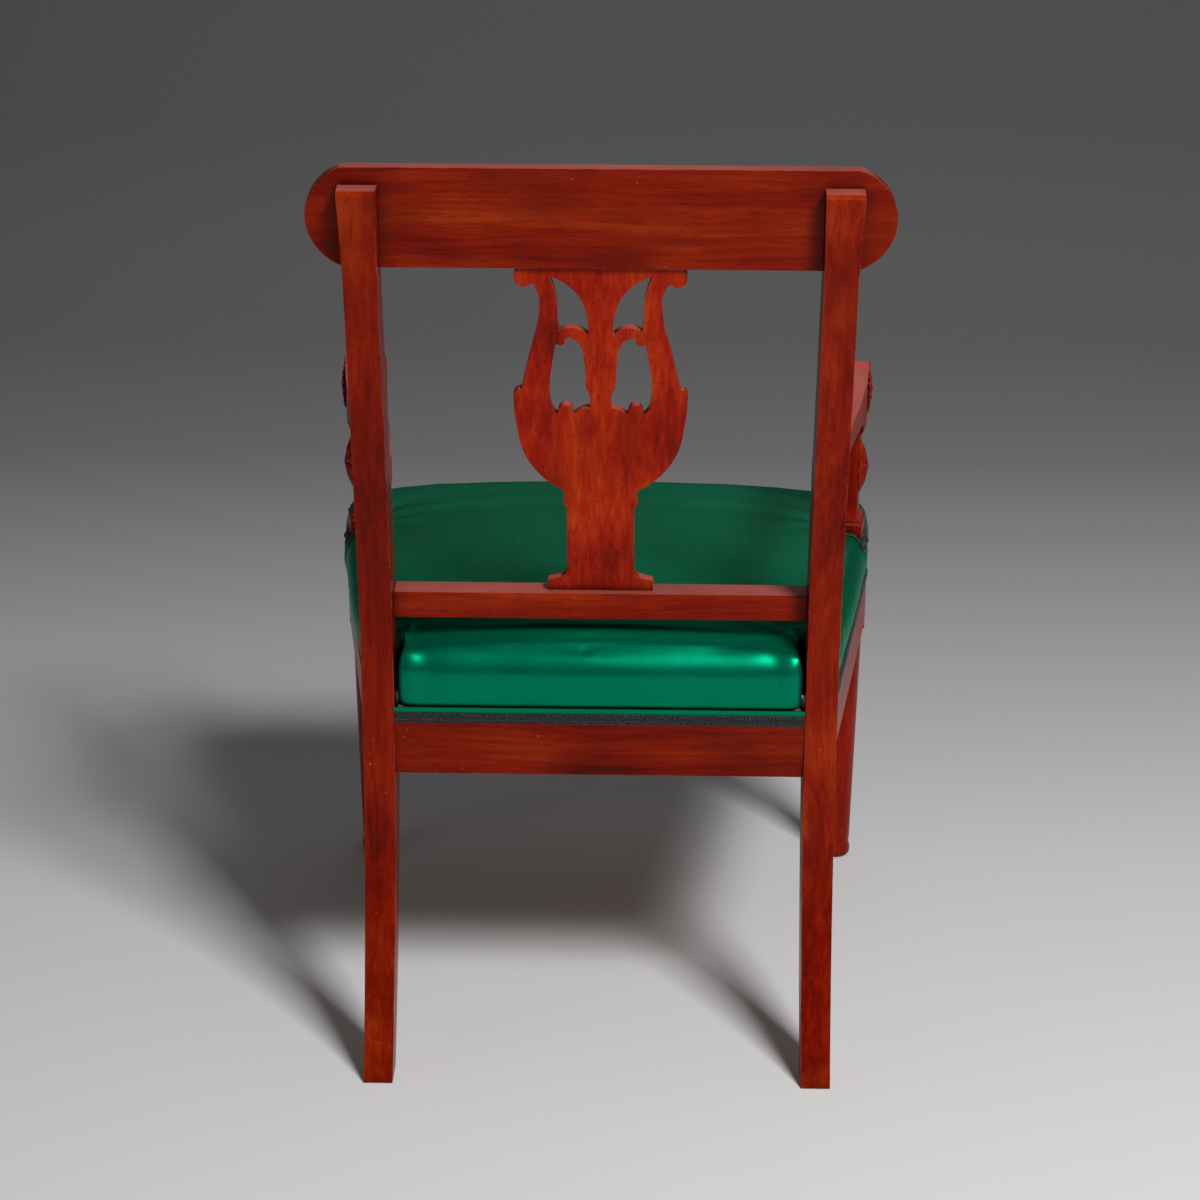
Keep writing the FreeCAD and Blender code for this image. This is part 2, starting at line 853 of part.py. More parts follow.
def arm():
    """Arm: side outline crossed with the flaring plan, ending in a rolled volute with a round boss."""
    inside_leg = (front_face(arm_top_rear) + rear_face(arm_top_rear)) / 2
    root_low = arm_top_rear - arm_root_thickness
    top_z = volute_centre_z + volute_radius
    front_tip = volute_centre_y - volute_radius
    lean = math.radians(38)
    post_rear = post_y + post_waist_depth / 2 + 8
    post_front = post_y - post_waist_depth / 2 - 4
    side_steps = [
        (seat_front_y + 8, arm_top_rear),
        (
            "curve",
            [
                (-150.0, arm_top_middle),
                (-235.0, arm_top_middle + 0.5),
                (-300.0, arm_top_middle + 5.0),
                (volute_centre_y + volute_radius * math.sin(lean) * 0.6, top_z - 3.4),
                (volute_centre_y, top_z),
            ],
        ),
        ("arc", (front_tip, volute_centre_z), (volute_centre_y, volute_centre_z - volute_radius)),
        (post_front, post_top),
        (post_rear, post_top),
        (
            "curve",
            [
                (post_rear + 26.0, post_top + 12.0),
                (post_rear + 70.0, root_low - 3.0),
                (-150.0, root_low),
                (seat_front_y + 8, root_low),
            ],
        ),
        (inside_leg, root_low),
        (inside_leg, arm_top_rear),
    ]
    side_edges = edges_of((inside_leg, arm_top_rear), side_steps, lambda y, z: Vec(0, y, z))
    side = prism(side_edges, Vec(clear, 0, 0))
    centre_x = back_half_width - stile_width / 2
    outer_root = centre_x + arm_root_width / 2
    inner_root = centre_x - arm_root_width / 2
    outer_front = outer_root + arm_flare
    inner_front = outer_front - arm_front_width
    end_y = front_tip - 1
    plan_steps = [
        (outer_root, seat_front_y),
        (
            "curve",
            [
                (outer_root + arm_flare * 0.4, -172.0),
                (outer_root + arm_flare * 0.84, -290.0),
                (outer_front, volute_centre_y),
            ],
        ),
        ("arc", (outer_front - 3.5, end_y + 6.0), (outer_front - 14.0, end_y)),
        (inner_front + 14.0, end_y),
        ("arc", (inner_front + 3.0, end_y + 6.0), (inner_front, volute_centre_y)),
        (
            "curve",
            [
                (inner_root + arm_flare * 0.63, -290.0),
                (inner_root + arm_flare * 0.31, -172.0),
                (inner_root, seat_front_y),
            ],
        ),
        (inner_root, inside_leg),
        (outer_root, inside_leg),
    ]
    plan_edges = edges_of((outer_root, inside_leg), plan_steps, lambda x, y: Vec(x, y, 0))
    plan = prism(plan_edges, Vec(0, 0, clear))
    solid = side.common(plan)
    boss = Part.makeCylinder(
        volute_boss_radius,
        volute_boss_depth + volute_boss_height,
        Vec(outer_front - volute_boss_depth, volute_centre_y, volute_centre_z),
        Vec(1, 0, 0),
    )
    solid = solid.fuse(boss)
    return solid.cut(rear_leg())


def arm_tenon(grow=0.0):
    centre_x = back_half_width - stile_width / 2
    low = arm_top_rear - arm_root_thickness + 5
    high = arm_top_rear - 5
    root = front_face(low)
    return grown_box(centre_x - 5, centre_x + 5, root - 6, root + 18, low, high, grow)


# The seat's outline in plan, from which the cover, braid and stuffing all take their shape
def outline_wire(z, rear_side, front_side, front, rear, corner, bow=0.0):
    """Closed outline at height z: offsets from the frame's outer faces, and a bow on each side."""
    start = Vec(back_half_width, side_start_y, 0) + side_outward * rear_side
    back = start + side_direction * ((rear - start.y) / side_direction.y)
    knee = Vec(side_end_x + front_side, side_end_y, 0)
    front_y = frame_front_y - front
    middle = (back + knee) * 0.5 + side_outward * bow
    turn = Vec(knee.x - corner, front_y + corner, 0)
    half = corner * math.sqrt(0.5)

    def at(sign):
        def place(x, y):
            return Vec(sign * x, y, z)

        side = ("arc", (middle.x, middle.y), (knee.x, knee.y)) if bow else (knee.x, knee.y)
        steps = [
            side,
            (knee.x, turn.y),
            ("arc", (turn.x + half, turn.y - half), (turn.x, front_y)),
        ]
        return edges_of((back.x, rear), steps, place)

    left = at(1)
    right = at(-1)
    front_line = Part.makeLine(Vec(turn.x, front_y, z), Vec(-turn.x, front_y, z))
    rear_line = Part.makeLine(Vec(-back.x, rear, z), Vec(back.x, rear, z))
    return Part.Wire(left + [front_line] + right[::-1] + [rear_line])


def even_outline(z, offset):
    corner = max(frame_corner, frame_corner + rebate + offset)
    return outline_wire(z, offset, offset, offset, offset, corner)


def even_prism(offset, low, high):
    return Part.Face(even_outline(low, offset)).extrude(Vec(0, 0, high - low))


floor_of_stuffing = rail_top + 2 * strap_thickness + hessian_thickness
skirt_offset = cover_thickness - rebate


def stile_notch(gap):
    left = grown_box(inner_face - gap, clear, seat_front_y - gap, clear, 0, clear)
    return [left, mirrored(left)]


def seat_form(inset):
    """Overstuffed seat: drawn in at the frame, a belly on the sides, a rounded rim and a domed top."""

    def row(rise, draw_in):
        return outline_wire(
            belly_height + rise,
            belly_rear_side - draw_in,
            belly_front_side - draw_in,
            belly_front - draw_in,
            belly_rear - draw_in - (rim_rear_extra if rise else 0.0),
            belly_corner - inset,
            belly_bow,
        )

    rows = [even_outline(floor_of_stuffing, skirt_offset - inset), row(0.0, inset)]
    rows += [row(rise, draw_in + inset) for rise, draw_in in rim_rows]
    form = Part.makeLoft(rows[:2], True, True)
    for low, high in zip(rows[1:], rows[2:]):
        form = form.fuse(Part.makeLoft([low, high], True, True))
    dome_centre = Vec(0, dome_y, dome_top - inset - dome_radius)
    form = form.common(Part.makeSphere(dome_radius, dome_centre, Vec(1, 0, 0)))
    for notch in stile_notch(stile_gap):
        form = form.cut(notch)
    return form


def post_wells(grow):
    root = post_block(post_depth / 2 - 3, post_root_width / 2, rail_bottom, clear, grow)
    base = post_block(post_depth / 2, post_width / 2, post_base_bottom, clear, grow)
    left = root.fuse(base)
    return [left, mirrored(left)]


def seat_stuffing():
    form = seat_form(cover_thickness)
    for well in post_wells(post_gap):
        form = form.cut(well)
    return form


def seat_cover():
    """Outer fabric: the seat's skin, with a skirt that lies in the frame's rebate."""
    skirt_low = rail_show_top + 0.2
    shell = seat_form(0.0).cut(seat_form(cover_thickness))
    skirt = even_prism(skirt_offset, skirt_low, floor_of_stuffing)
    skirt = skirt.cut(even_prism(skirt_offset - cover_thickness, rail_bottom, clear))
    for cut in stile_notch(0.3):
        skirt = skirt.cut(cut)
    shell = shell.fuse(skirt)
    for well in post_wells(post_gap):
        shell = shell.cut(well)
    return shell.removeSplitter()


def braid_band():
    low = rail_show_top + 0.3
    band = even_prism(skirt_offset + braid_thickness, low, low + braid_height)
    return band.cut(even_prism(skirt_offset, low - 1, low + braid_height + 1))


def braid_rear():
    between = grown_box(-inner_face + post_gap, inner_face - post_gap, -rail_thickness, clear, 0, clear)
    return braid_band().common(between)


def braid_front():
    """One length of braid along both sides and the front, from stile to stile."""
    return braid_band().common(grown_box(-clear, clear, -clear, seat_front_y - post_gap, 0, clear))


def braid_post():
    """Braid laid on the seat round the foot of the left arm post."""
    skin = seat_form(-braid_thickness).cut(seat_form(0.0))
    half = post_depth / 2 + post_gap
    inner = -post_width / 2 - post_gap
    outer = post_width
    low = post_base_bottom - post_gap
    frame = post_slab(half + braid_height, inner - braid_height, outer, low - braid_height, clear)
    return skin.common(frame.cut(post_slab(half, inner, 2 * outer, low, 2 * clear)))


long_strap_x = [strap_pitch * place for place in (-1.5, -0.5, 0.5, 1.5)]
cross_strap_y = [strap_front_y + strap_pitch * place for place in range(4)]


def long_straps():
    """Webbing from the front rail to the rear rail."""
    length = -frame_front_y - 2 * (rebate + strap_end)
    start = -rebate - strap_end - length
    high = rail_top + strap_thickness
    return [
        grown_box(x - strap_width / 2, x + strap_width / 2, start, start + length, rail_top, high)
        for x in long_strap_x
    ]


def cross_straps():
    """Webbing over the long straps, stepping down to the side rails at its ends."""
    found = []
    for y in cross_strap_y:
        reach = side_point(y, rebate + strap_end + 3).x
        level = reach - rail_thickness + strap_end
        low = rail_top
        high = rail_top + strap_thickness
        points = [
            (-reach, low),
            (-level, low),
            (-level + strap_ramp, high),
            (level - strap_ramp, high),
            (level, low),
            (reach, low),
            (reach, high),
            (level, high),
            (level - strap_ramp, high + strap_thickness),
            (-level + strap_ramp, high + strap_thickness),
            (-level, high),
            (-reach, high),
        ]
        corners = [Vec(x, y - strap_width / 2, z) for x, z in points]
        strap = polygon_prism(corners, Vec(0, strap_width, 0))
        found.append(strap)
    return found


def strap_tacks(grow=0.0):
    """Two tacks at each end of each strap."""
    spots = []
    front = frame_front_y + rail_thickness / 2
    for side in (-tack_spread, tack_spread):
        for x in long_strap_x:
            spots.append((x + side, front))
            spots.append((x + side, -rail_thickness / 2 - 1))
        for y in cross_strap_y:
            reach = side_point(y + side, rail_thickness / 2 + 1).x
            spots.append((reach, y + side))
            spots.append((-reach, y + side))
    top = rail_top + strap_thickness
    found = []
    for x, y in spots:
        start = Vec(x, y, top - tack_length - grow)
        shank = faceted_bar(4, tack_shank_radius + grow, start, Vec(0, 0, 1), tack_length + grow)
        if grow:
            found.append(shank)
        else:
            head = faceted_bar(8, tack_head_radius, Vec(x, y, top), Vec(0, 0, 1), tack_head_height)
            found.append(shank.fuse(head).removeSplitter())
    return found


def hessian():
    base = rail_top + 2 * strap_thickness
    sheet = even_prism(-hessian_inset, base, base + hessian_thickness)
    for cut in stile_notch(stile_gap) + post_wells(post_gap):
        sheet = sheet.cut(cut)
    return sheet


def corner_block(corner, along_a, along_b):
    """Triangle with two legs from the corner, later cut to fit what it is glued to."""
    low = rail_bottom + block_raise
    points = [corner, corner + along_a * block_leg, corner + along_b * block_leg]
    points = [Vec(point.x, point.y, low) for point in points]
    return polygon_prism(points, Vec(0, 0, block_height))


def block_screws(corner, along_a, along_b, grow=0.0):
    """Two screws square to the block's long face."""
    middle = corner + (along_a + along_b) * (block_leg / 2)
    face = (along_a - along_b).normalize()
    inward = (corner - middle).normalize()
    z = rail_bottom + block_raise + block_height / 2
    found = []
    for side in (-1, 1):
        start = middle + face * (side * screw_spread)
        start = Vec(start.x, start.y, z)
        shank = faceted_bar(8, screw_radius + grow, start, inward, screw_length + grow)
        head = faceted_bar(
            8, screw_head_radius + grow, start, inward, screw_head_height, screw_radius + grow
        )
        found.append(shank.fuse(head).removeSplitter())
    return found


def block_places():
    """Corner and directions of the left blocks: front, then rear."""
    front_corner = Vec(side_point(frame_front_y + rail_thickness, rail_thickness).x, 0, 0)
    front_corner.y = frame_front_y + rail_thickness
    rear_corner = Vec(side_point(-rail_thickness, rail_thickness).x, -rail_thickness, 0)
    across = Vec(-1, 0, 0)
    return (front_corner, across, side_direction * -1), (rear_corner, across, side_direction)


PARTS = {}


def build():
    leg = rear_leg()
    for tenon in (
        cross_rail_tenons(fit)[1:]
        + rail_tenons(inner_face, -rail_thickness, fit)[1:]
        + side_tenons(fit)[:1]
        + [arm_tenon(fit)]
        + crest_dowels(fit)[2:]
    ):
        leg = leg.cut(tenon)
    PARTS["rear_leg_left"] = leg
    PARTS["rear_leg_right"] = mirrored(leg)

    crest = crest_rail()
    crest = crest.cut(splat_tenons(fit)[0])
    for tenon in crest_dowels(fit):
        crest = crest.cut(tenon)
    housing = rear_leg()
    crest = crest.cut(housing).cut(mirrored(housing))
    PARTS["crest_rail"] = crest

    rail = cross_rail()
    for tenon in cross_rail_tenons():
        rail = rail.fuse(tenon)
    PARTS["cross_rail"] = rail.cut(splat_tenons(fit)[1]).removeSplitter()

    splat = lyre_splat()
    for tenon in splat_tenons():
        splat = splat.fuse(tenon)
    PARTS["lyre_splat"] = splat.removeSplitter()

    PARTS["crest_dowels"] = Part.makeCompound(crest_dowels())

    rail = rear_rail()
    for tenon in rail_tenons(inner_face, -rail_thickness):
        rail = rail.fuse(tenon)
    PARTS["rear_seat_rail"] = rail.removeSplitter()

    rail = front_rail()
    for tenon in rail_tenons(front_inner, frame_front_y):
        rail = rail.fuse(tenon)
    PARTS["front_seat_rail"] = rail.removeSplitter()

    rail = side_rail()
    for tenon in side_tenons():
        rail = rail.fuse(tenon)
    rail = rail.cut(post_tenons(fit)[0]).removeSplitter()
    PARTS["side_seat_rail_left"] = rail
    PARTS["side_seat_rail_right"] = mirrored(rail)

    leg = front_leg()
    for tenon in rail_tenons(front_inner, frame_front_y, fit)[1:] + side_tenons(fit)[1:]:
        leg = leg.cut(tenon)
    PARTS["front_leg_left"] = leg
    PARTS["front_leg_right"] = mirrored(leg)

    post = arm_post()
    for tenon in post_tenons():
        post = post.fuse(tenon)
    post = post.removeSplitter()
    PARTS["arm_post_left"] = post
    PARTS["arm_post_right"] = mirrored(post)

    piece = arm().fuse(arm_tenon()).removeSplitter()
    piece = piece.cut(post_tenons(fit)[1])
    PARTS["arm_left"] = piece
    PARTS["arm_right"] = mirrored(piece)

    PARTS["arm_ornament_left"] = arm_ornament()
    PARTS["arm_ornament_right"] = mirrored(arm_ornament())

    PARTS["seat_stuffing"] = seat_stuffing()
    PARTS["seat_cover"] = seat_cover()
    PARTS["seat_hessian"] = hessian()
    PARTS["braid_rear"] = braid_rear()
    PARTS["braid_front"] = braid_front()
    PARTS["braid_post_left"] = braid_post()
    PARTS["braid_post_right"] = mirrored(PARTS["braid_post_left"])

    holes = Part.makeCompound(strap_tacks(fit))
    PARTS["webbing_front_to_back"] = Part.makeCompound(long_straps()).cut(holes)
    PARTS["webbing_side_to_side"] = Part.makeCompound(cross_straps()).cut(holes)
    PARTS["webbing_tacks"] = Part.makeCompound(strap_tacks())
    for name in ("rear_seat_rail", "front_seat_rail", "side_seat_rail_left", "side_seat_rail_right"):
        PARTS[name] = PARTS[name].cut(holes)

    screws = []
    rails = {"front": "front_seat_rail", "rear": "rear_seat_rail"}
    for end, place in zip(("front", "rear"), block_places()):
        block = corner_block(*place)
        for neighbour in (end + "_leg_left", rails[end], "side_seat_rail_left"):
            block = block.cut(PARTS[neighbour])
        held = Part.makeCompound(block_screws(*place, grow=fit))
        block = block.cut(held)
        PARTS["corner_block_" + end + "_left"] = block
        PARTS["corner_block_" + end + "_right"] = mirrored(block)
        for name in (rails[end], "side_seat_rail_left"):
            PARTS[name] = PARTS[name].cut(held)
        for name in (rails[end], "side_seat_rail_right"):
            PARTS[name] = PARTS[name].cut(mirrored(held))
        screws += block_screws(*place)
        screws += [mirrored(screw) for screw in block_screws(*place)]
    PARTS["corner_block_screws"] = Part.makeCompound(screws)


def main():
    build()
    front_reach = -frame_front_y + belly_front
    middle = (front_reach - foot_sweep) / 2
    os.makedirs("parts", exist_ok=True)
    for name, shape in PARTS.items():
        placed = shape.copy()
        placed.translate(Vec(0, middle, 0))
        placed.exportStep(os.path.join("parts", name + ".step"))
        print(name, len(placed.Solids), placed.isValid(), round(placed.Volume / 1000, 2))


main()
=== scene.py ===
"""Looks of the lyre back armchair: worn mahogany, emerald satin over a stuffed seat, black braid."""

import bpy
import bmesh
import math
from mathutils import Matrix, Vector, noise
from mathutils.bvhtree import BVHTree


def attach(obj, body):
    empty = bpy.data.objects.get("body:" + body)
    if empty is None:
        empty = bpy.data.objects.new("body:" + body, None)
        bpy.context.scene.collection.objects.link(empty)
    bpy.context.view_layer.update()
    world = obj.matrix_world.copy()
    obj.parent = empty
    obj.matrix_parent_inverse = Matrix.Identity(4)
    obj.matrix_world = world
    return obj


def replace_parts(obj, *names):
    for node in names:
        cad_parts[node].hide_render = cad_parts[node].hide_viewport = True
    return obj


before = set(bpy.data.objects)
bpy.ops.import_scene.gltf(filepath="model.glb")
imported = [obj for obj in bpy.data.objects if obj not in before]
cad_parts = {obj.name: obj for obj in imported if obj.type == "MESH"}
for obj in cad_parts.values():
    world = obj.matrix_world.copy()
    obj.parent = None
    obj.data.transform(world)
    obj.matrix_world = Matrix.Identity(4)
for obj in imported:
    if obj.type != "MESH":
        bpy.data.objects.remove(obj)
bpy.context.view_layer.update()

SHIFT = 0.19805  # the drawing's y = 0, at the rear face of the back legs, lies here
scene = bpy.context.scene


# Small helpers
def link(obj):
    scene.collection.objects.link(obj)
    return obj


def mesh_object(name, verts, faces, smooth=True):
    mesh = bpy.data.meshes.new(name)
    mesh.from_pydata([tuple(v) for v in verts], [], faces)
    mesh.validate()
    if smooth:
        mesh.shade_smooth()
    return link(bpy.data.objects.new(name, mesh))


def applied(piece, name):
    """The piece's own mesh with its modifiers applied to it."""
    depth = bpy.context.evaluated_depsgraph_get()
    mesh = bpy.data.meshes.new_from_object(piece.evaluated_get(depth))
    piece.modifiers.clear()
    piece.data = mesh
    mesh.name = name
    return mesh


def paint(node, material):
    """Gives its material to a CAD piece that shows as it is."""
    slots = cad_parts[node].data.materials
    slots.clear()
    slots.append(material)


class Nodes:
    """Short calls for building a material's node tree."""

    def __init__(self, name):
        self.material = bpy.data.materials.new(name)
        self.material.use_nodes = True
        self.tree = self.material.node_tree
        self.tree.nodes.clear()
        self.out = self.add("ShaderNodeOutputMaterial")
        self.shader = self.add("ShaderNodeBsdfPrincipled")
        self.join(self.shader.outputs[0], self.out.inputs["Surface"])
        self.coord = self.add("ShaderNodeTexCoord").outputs["Object"]

    def add(self, kind, **props):
        node = self.tree.nodes.new(kind)
        for key, value in props.items():
            setattr(node, key, value)
        return node

    def join(self, a, b):
        self.tree.links.new(a, b)

    def feed(self, socket, value):
        if isinstance(value, (int, float)):
            socket.default_value = value
        else:
            self.join(value, socket)

    def scaled(self, coord, scale, place=(0, 0, 0)):
        node = self.add("ShaderNodeMapping")
        self.join(coord, node.inputs["Vector"])
        node.inputs["Scale"].default_value = scale
        node.inputs["Location"].default_value = place
        return node.outputs[0]

    def noise(self, coord, scale, detail=2.0, rough=0.5):
        node = self.add("ShaderNodeTexNoise")
        self.join(coord, node.inputs["Vector"])
        node.inputs["Scale"].default_value = scale
        node.inputs["Detail"].default_value = detail
        node.inputs["Roughness"].default_value = rough
        return node.outputs["Fac"]

    def math(self, kind, a, b=0.0, clamp=False):
        node = self.add("ShaderNodeMath", operation=kind, use_clamp=clamp)
        self.feed(node.inputs[0], a)
        self.feed(node.inputs[1], b)
        return node.outputs[0]

    def span(self, value, low, high, to_low=0.0, to_high=1.0):
        node = self.add("ShaderNodeMapRange", clamp=True)
        self.feed(node.inputs["Value"], value)
        node.inputs["From Min"].default_value = low
        node.inputs["From Max"].default_value = high
        node.inputs["To Min"].default_value = to_low
        node.inputs["To Max"].default_value = to_high
        return node.outputs[0]

    def ramp(self, value, stops):
        node = self.add("ShaderNodeValToRGB")
        self.join(value, node.inputs["Fac"])
        items = node.color_ramp.elements
        while len(items) < len(stops):
            items.new(0.5)
        for item, (place, colour) in zip(items, stops):
            item.position = place
            item.color = (*colour, 1.0)
        return node.outputs["Color"]

    def mix(self, share, a, b):
        node = self.add("ShaderNodeMix", data_type="RGBA")
        self.feed(node.inputs["Factor"], share)
        for socket, value in ((node.inputs[6], a), (node.inputs[7], b)):
            if isinstance(value, tuple):
                socket.default_value = (*value, 1.0)
            else:
                self.join(value, socket)
        return node.outputs[2]

    def attribute(self, name):
        return self.add("ShaderNodeAttribute", attribute_name=name).outputs["Fac"]

    def bump(self, height, strength, distance, before=None):
        node = self.add("ShaderNodeBump")
        node.inputs["Strength"].default_value = strength
        node.inputs["Distance"].default_value = distance
        self.join(height, node.inputs["Height"])
        if before is not None:
            self.join(before, node.inputs["Normal"])
        return node.outputs["Normal"]

    def finish(self, colour, rough, normal=None, **uniform):
        self.join(colour, self.shader.inputs["Base Color"])
        self.feed(self.shader.inputs["Roughness"], rough)
        if normal is not None:
            self.join(normal, self.shader.inputs["Normal"])
        for name, value in uniform.items():
            self.shader.inputs[name.replace("_", " ")].default_value = value
        return self.material


# Materials
def mahogany(name, along, seed, tone, orange):
    """French-polished mahogany with its grain along one axis, worn pale at the arrises, with painted
    shade in its corners and a painted highlight on its upper faces.
    """
    n = Nodes(name)
    stretch = [30.0, 30.0, 30.0]
    stretch["XYZ".index(along)] = 1.3
    place = (seed * 1.7, seed * 2.3, seed * 0.9)
    slow = n.noise(n.scaled(n.coord, (4, 4, 4), place), 1.0, 2.0)
    bend = n.add("ShaderNodeVectorMath", operation="MULTIPLY_ADD")
    n.join(n.coord, bend.inputs[2])
    n.join(slow, bend.inputs[0])
    bend.inputs[1].default_value = (0.02, 0.02, 0.02)
    grain = bend.outputs[0]
    streak = n.noise(n.scaled(grain, tuple(stretch), place), 1.0, 5.0, 0.62)
    fine = n.noise(n.scaled(grain, tuple(s * 7 for s in stretch), place), 1.0, 3.0, 0.6)
    patch = n.noise(n.scaled(n.coord, (7, 7, 7), place), 1.0, 3.0, 0.55)
    mottle = n.noise(n.scaled(n.coord, tuple(s * 0.5 + 9 for s in stretch), place), 1.0, 2.0, 0.5)
    close = tuple(s * 30 if s > 2 else s * 45 for s in stretch)
    pores = n.noise(n.scaled(grain, close, place), 1.0, 1.0)
    tint = n.math("ADD", n.math("MULTIPLY", streak, 0.6), n.math("MULTIPLY", fine, 0.4))
    tint = n.math("ADD", tint, n.span(patch, 0.3, 0.7, -0.10, 0.10))
    deep = tuple(c * tone for c in (0.120, 0.0040, 0.0010))
    mid = tuple(c * tone for c in (0.275, 0.0075, 0.0012))
    warm = tuple(c * tone for c in (0.380, 0.0120 + 0.012 * orange, 0.0020))
    light = tuple(c * tone for c in (0.520, 0.0260 + 0.040 * orange, 0.0040))
    colour = n.ramp(tint, [(0.30, deep), (0.43, mid), (0.55, warm), (0.70, light)])
    colour = n.mix(n.span(mottle, 0.50, 0.70, 0.0, 0.42), colour, deep)
    pore = n.span(pores, 0.60, 0.68)
    colour = n.mix(n.math("MULTIPLY", pore, 0.45), colour, (0.030, 0.004, 0.003))
    # painted shade darkening the corners, worn and chipped polish on the arrises
    cave = n.add("ShaderNodeAmbientOcclusion", samples=4, only_local=False)
    cave.inputs["Distance"].default_value = 0.016
    painted_corner_shade = n.span(cave.outputs["AO"], 0.30, 0.90, 0.88, 0.0)
    colour = n.mix(painted_corner_shade, colour, (0.016, 0.003, 0.002))
    # painted highlight: the upper faces are made paler and pinker, as the light from above would
    # show on them
    facing = n.add("ShaderNodeSeparateXYZ")
    n.join(n.add("ShaderNodeNewGeometry").outputs["Normal"], facing.inputs[0])
    upward = n.span(facing.outputs["Z"], 0.80, 0.97)
    painted_top_sheen = n.math("MULTIPLY", upward, n.span(patch, 0.2, 0.8, 0.22, 0.5))
    colour = n.mix(painted_top_sheen, colour, (0.60, 0.19, 0.15))
    edge = n.attribute("edge")
    rub = n.noise(n.scaled(n.coord, (42, 42, 42), place), 1.0, 4.0, 0.7)
    rubbed = n.math("MULTIPLY", edge, n.span(rub, 0.46, 0.62), True)
    colour = n.mix(n.math("MULTIPLY", rubbed, 0.55), colour, (0.62, 0.200, 0.130))
    chip = n.noise(n.scaled(n.coord, (95, 95, 95), place), 1.0, 3.0, 0.6)
    chipped = n.math("MULTIPLY", edge, n.span(chip, 0.665, 0.70), True)
    colour = n.mix(n.math("MULTIPLY", chipped, 0.8), colour, (0.62, 0.30, 0.15))
    fleck = n.noise(n.scaled(n.coord, (230, 230, 230), place), 1.0, 1.0)
    flecks = n.math("MULTIPLY", n.span(fleck, 0.775, 0.80), n.span(patch, 0.5, 0.6), True)
    colour = n.mix(n.math("MULTIPLY", flecks, 0.7), colour, (0.50, 0.20, 0.12))
    rough = n.math("ADD", n.span(patch, 0.3, 0.7, 0.26, 0.40), n.math("MULTIPLY", rubbed, 0.15))
    height = n.math("ADD", n.math("MULTIPLY", pore, -0.6), n.math("MULTIPLY", fine, 0.5))
    normal = n.bump(height, 0.25, 0.00025)
    dents = n.noise(n.scaled(n.coord, (16, 16, 16), place), 1.0, 2.0)
    normal = n.bump(dents, 0.25, 0.0012, normal)
    return n.finish(
        colour, rough, normal, Specular_IOR_Level=0.20, Specular_Tint=(1.0, 0.30, 0.18, 1.0),
        Coat_Weight=0.04, Coat_Roughness=0.12
    )


def satin():
    """Emerald satin: fine warp threads, a few slubs and a soft sheen."""
    n = Nodes("emerald_satin")
    cloud = n.noise(n.scaled(n.coord, (5, 5, 5)), 1.0, 3.0)
    thread = n.noise(n.scaled(n.coord, (2600, 90, 900)), 1.0, 1.0)
    weft = n.noise(n.scaled(n.coord, (60, 2200, 60)), 1.0, 1.0)
    slub = n.noise(n.scaled(n.coord, (700, 14, 240)), 1.0, 1.0)
    tint = n.math("ADD", n.math("MULTIPLY", cloud, 0.35), n.math("MULTIPLY", thread, 0.65))
    colour = n.ramp(
        tint, [(0.3, (0.0, 0.150, 0.074)), (0.5, (0.0, 0.195, 0.098)), (0.7, (0.001, 0.250, 0.128))]
    )
    colour = n.mix(n.span(slub, 0.66, 0.72, 0.0, 0.35), colour, (0.0, 0.300, 0.150))
    height = n.math("ADD", thread, n.math("MULTIPLY", weft, 0.6))
    normal = n.bump(height, 0.25, 0.00008)
    rough = n.span(cloud, 0.3, 0.7, 0.31, 0.36)
    return n.finish(
        colour, rough, normal, Metallic=0.66, Specular_IOR_Level=0.2,
        Specular_Tint=(0.1, 1.0, 0.6, 1.0)
    )


def black_gimp():
    """Black silk braid with small glints painted into its colour."""
    n = Nodes("black_gimp")
    twist = n.noise(n.scaled(n.coord, (900, 900, 900)), 1.0, 2.0)
    # the palest, bluish stop is a painted glint
    colour = n.ramp(
        twist,
        [(0.35, (0.004, 0.004, 0.005)), (0.6, (0.012, 0.012, 0.016)), (0.72, (0.09, 0.10, 0.13))],
    )
    normal = n.bump(twist, 0.5, 0.0003)
    return n.finish(colour, 0.45, normal, Sheen_Weight=0.15, Sheen_Roughness=0.4)


def beech(name, seed):
    """Pale plain wood of the hidden blocks and dowels."""
    n = Nodes(name)
    streak = n.noise(n.scaled(n.coord, (5, 60, 60), (seed, seed, 0)), 1.0, 4.0)
    ray = n.noise(n.scaled(n.coord, (60, 420, 420), (seed, 0, seed)), 1.0, 1.0)
    colour = n.ramp(streak, [(0.3, (0.30, 0.17, 0.085)), (0.7, (0.44, 0.28, 0.15))])
    colour = n.mix(n.span(ray, 0.6, 0.68, 0.0, 0.6), colour, (0.20, 0.10, 0.05))
    return n.finish(colour, 0.6, n.bump(streak, 0.2, 0.0004))


def cloth(name, dark, pale, across, along, rough):
    """Plain weave of coarse yarn."""
    n = Nodes(name)
    warp = n.add("ShaderNodeTexWave", bands_direction="X")
    weft = n.add("ShaderNodeTexWave", bands_direction="Y")
    for wave, scale in ((warp, across), (weft, along)):
        n.join(n.coord, wave.inputs["Vector"])
        wave.inputs["Scale"].default_value = scale
        wave.inputs["Distortion"].default_value = 0.6
        wave.inputs["Detail"].default_value = 1.0
    weave = n.math("MULTIPLY", warp.outputs["Fac"], weft.outputs["Fac"])
    fuzz = n.noise(n.scaled(n.coord, (300, 300, 300)), 1.0, 3.0)
    tint = n.math("ADD", n.math("MULTIPLY", weave, 0.6), n.math("MULTIPLY", fuzz, 0.4))
    colour = n.ramp(tint, [(0.15, dark), (0.6, pale)])
    return n.finish(colour, rough, n.bump(tint, 0.6, 0.0006), Sheen_Weight=0.2)


